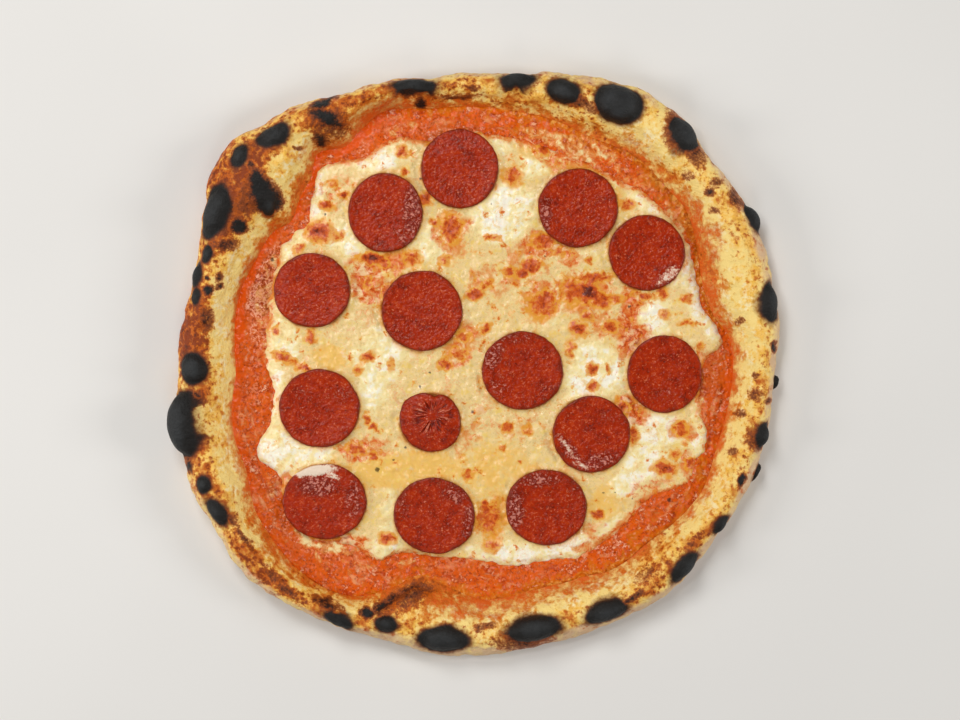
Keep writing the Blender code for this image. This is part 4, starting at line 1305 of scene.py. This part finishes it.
def pepperoni_material(settings):
    """Cured pork sausage: ground lean and fat, dyed by paprika, with a thin film of its own fat."""
    material, tree, place = new_material("cured pork pepperoni")
    blotches = mottle(tree, place, 5.5)
    ground = mottle(tree, place, 2.0, 3.0, 0.6)
    grains = mottle(tree, place, 1.0, 3.0, 0.65)
    edge, wet, run_over, ridge, groove = (
        add(tree, "ShaderNodeAttribute", attribute_name=name).outputs["Fac"]
        for name in ("edge", "wet", "run_over", "ridge", "groove")
    )
    mottled = blended(tree, blotches, (ground, 0.8))
    fine = blended(tree, ground, (grains, 0.9))
    waves = mottle(tree, place, 2.1, 2.0, 0.5)
    folds = add(tree, "ShaderNodeMath", {0: waves}, operation="ABSOLUTE").outputs[0]
    wrinkles = add(tree, "ShaderNodeMath", {0: folds, 1: wet}, operation="MULTIPLY").outputs[0]
    layers = [
        (settings.lean, 0.85, mottled, grains, 1.0, -0.3, 1.5),
        (settings.fat, 0.85, fine, blotches, -0.6, -0.1, 1.2),
        (linear("#4E0E02"), 0.8, grains, ground, -0.6, 0.3, 1.2),
        (settings.lean, 0.7, wet, ground, 0.3, 0.2, 0.9),
        # Painted highlights: pale pink glints on the wrinkles of wet skin.
        (linear("#D48674"), 0.8, wrinkles, fine, 0.14, 0.34, 0.8),
        (settings.speck, 0.65, grains, ground, 0.7, 0.8, 1.8),
        # Painted shade: the grooves round the end piece's knot are darkened.
        (linear("#5A0C02"), 0.8, groove, grains, 0.1, 0.2, 0.8),
        # Painted highlights: pale glints on the ridges round the knot.
        (linear("#D88468"), 0.75, ridge, grains, 0.3, 0.45, 1.0),
        (settings.rind, 0.8, edge, mottled, 0.045, 0.9, 1.02),
        (linear("#CC8468"), 0.9, run_over, fine, 0.12, 0.16, 0.4),
        (linear("#F0DCC4"), 0.92, run_over, fine, 0.16, 0.32, 0.62),
    ]
    colour = coats(tree, settings.meat, layers)
    film = {"Value": wet, "From Min": 0.2, "From Max": 0.8, "To Min": 0.24, "To Max": 0.12}
    gloss = add(tree, "ShaderNodeMapRange", film).outputs[0]
    lumps = mottle(tree, place, 1.4, 2.0, 0.5)
    height = blended(tree, lumps, (wrinkles, 3.0))
    bump = add(tree, "ShaderNodeBump", {"Strength": 0.9, "Distance": 0.1 * MM, "Height": height}).outputs[0]
    surface = {"Base Color": colour, "Roughness": gloss, "Normal": bump}
    connect(tree, tree.nodes["Principled BSDF"], surface | {"IOR": 1.37, "Specular IOR Level": 0.34})
    return material


def make_floor(settings):
    """A plain pale floor: smooth painted board, with no more than a faint, wide cloudiness."""
    material, tree, place = new_material("matt painted board")
    cloud = mottle(tree, place, 300.0, 2.0)
    shade = [0.97 * channel for channel in settings.floor]
    colour = coats(tree, settings.floor, [(shade, 1.0, cloud, cloud, 0.5, -1.0, 1.0)])
    connect(tree, tree.nodes["Principled BSDF"], {"Base Color": colour, "Roughness": 0.8})
    bpy.ops.mesh.primitive_plane_add(size=FLOOR_METRES)
    floor = bpy.context.active_object
    floor.name = "floor"
    floor.data.materials.append(material)


def make_lights(scene, settings):
    """Soft panels high round the pizza, the brightest on the far side, and light from all round."""
    for number, (degrees, away, height, size, share) in enumerate(PANELS, start=1):
        light = bpy.data.lights.new(f"panel {number}", "AREA")
        light.energy = settings.key_power * share
        light.size = size
        lamp = bpy.data.objects.new(f"panel {number}", light)
        turn = np.radians(degrees)
        lamp.location = (away * np.cos(turn), away * np.sin(turn), height)
        lamp.rotation_euler = (-lamp.location).to_track_quat("-Z", "Y").to_euler()
        scene.collection.objects.link(lamp)
    world = bpy.data.worlds.new("soft studio")
    world.use_nodes = True
    sky = world.node_tree.nodes["Background"]
    sky.inputs["Color"].default_value = (1, 1, 1, 1)
    sky.inputs["Strength"].default_value = settings.sky_strength
    scene.world = world
    scene.view_settings.view_transform = "Standard"


def make_camera(scene, settings):
    """A long lens straight above the pizza, as the picture was taken."""
    camera = bpy.data.cameras.new("camera")
    camera.lens = settings.lens
    above = settings.lens / camera.sensor_width * settings.frame_width
    holder = bpy.data.objects.new("camera", camera)
    holder.location = (FRAME_MIDDLE[0] * MM, FRAME_MIDDLE[1] * MM, above + FRAME_LEVEL * MM)
    scene.collection.objects.link(holder)
    scene.camera = holder


class PIZZA_OT_dough(Operator):
    """Bakes the dough's base and rim"""

    bl_idname = "pizza.dough"
    bl_label = "Bake Dough"

    def execute(self, context):
        settings = context.scene.pizza_dough
        points, fields = make_dough(settings)
        material = dough_material(settings, context.scene.pizza_sauce)
        turned_piece("baked_dough", points, fields, material, "crust")
        return {"FINISHED"}


class PIZZA_OT_sauce(Operator):
    """Spreads the tomato sauce"""

    bl_idname = "pizza.sauce"
    bl_label = "Spread Sauce"

    def execute(self, context):
        settings = context.scene.pizza_sauce
        points, fields = make_sauce(settings)
        material = sauce_material(settings, context.scene.pizza_cheese)
        turned_piece("crushed_tomato", points, fields, material, "tomato_sauce")
        return {"FINISHED"}


class PIZZA_OT_cheese(Operator):
    """Melts the mozzarella over the sauce"""

    bl_idname = "pizza.cheese"
    bl_label = "Melt Cheese"

    def execute(self, context):
        settings = context.scene.pizza_cheese
        points, fields = make_cheese(settings)
        material = cheese_material(settings, context.scene.pizza_sauce)
        turned_piece("mozzarella_sheet", points, fields, material, "melted_mozzarella")
        return {"FINISHED"}


class PIZZA_OT_pepperoni(Operator):
    """Lays the slices of pepperoni and the sausage's end piece"""

    bl_idname = "pizza.pepperoni"
    bl_label = "Lay Pepperoni"

    def execute(self, context):
        settings = context.scene.pizza_pepperoni
        material = pepperoni_material(settings)
        for number, piece in enumerate(SLICES, start=1):
            points, fields = make_slice(piece, SLICE_THICKNESS, SLICE_CURL, settings)
            node = f"pepperoni_slice_{number:02d}"
            turned_piece(f"pepperoni_{number:02d}", points, fields, material, node)
        points, fields = make_slice(END_PIECE, END_PIECE_THICKNESS, 0, settings, end_piece=True)
        turned_piece("sausage_end", points, fields, material, "pepperoni_end_piece")
        return {"FINISHED"}


class PIZZA_OT_stage(Operator):
    """Sets the pale floor, the soft lights and the camera that looks straight down"""

    bl_idname = "pizza.stage"
    bl_label = "Set Stage"

    def execute(self, context):
        settings = context.scene.pizza_studio
        make_floor(settings)
        make_lights(context.scene, settings)
        make_camera(context.scene, settings)
        return {"FINISHED"}


class PIZZA_PT_panel(Panel):
    """The pizza's steps, in the order they are done"""

    bl_idname = "PIZZA_PT_panel"
    bl_label = "Pizza"
    bl_space_type = "VIEW_3D"
    bl_region_type = "UI"
    bl_category = "Pizza"

    def draw(self, context):
        for step in STEPS:
            self.layout.operator(step.bl_idname)
        for group in GROUPS:
            settings = getattr(context.scene, group)
            box = self.layout.box()
            for name in settings.__annotations__:
                box.prop(settings, name)


STEPS = (PIZZA_OT_dough, PIZZA_OT_sauce, PIZZA_OT_cheese, PIZZA_OT_pepperoni, PIZZA_OT_stage)
GROUPS = {
    "pizza_dough": DoughSettings,
    "pizza_sauce": SauceSettings,
    "pizza_cheese": CheeseSettings,
    "pizza_pepperoni": PepperoniSettings,
    "pizza_studio": StudioSettings,
}


def register():
    """Adds the settings, the steps and the panel."""
    for made in (*GROUPS.values(), *STEPS, PIZZA_PT_panel):
        bpy.utils.register_class(made)
    for name, group in GROUPS.items():
        setattr(bpy.types.Scene, name, PointerProperty(type=group))


def unregister():
    """Takes them away again."""
    for name in GROUPS:
        delattr(bpy.types.Scene, name)
    for made in reversed((*GROUPS.values(), *STEPS, PIZZA_PT_panel)):
        bpy.utils.unregister_class(made)


def main():
    """Builds the pizza and its stage."""
    register()
    bpy.ops.pizza.dough()
    bpy.ops.pizza.sauce()
    bpy.ops.pizza.cheese()
    bpy.ops.pizza.pepperoni()
    bpy.ops.pizza.stage()


if __name__ == "__main__":
    main()
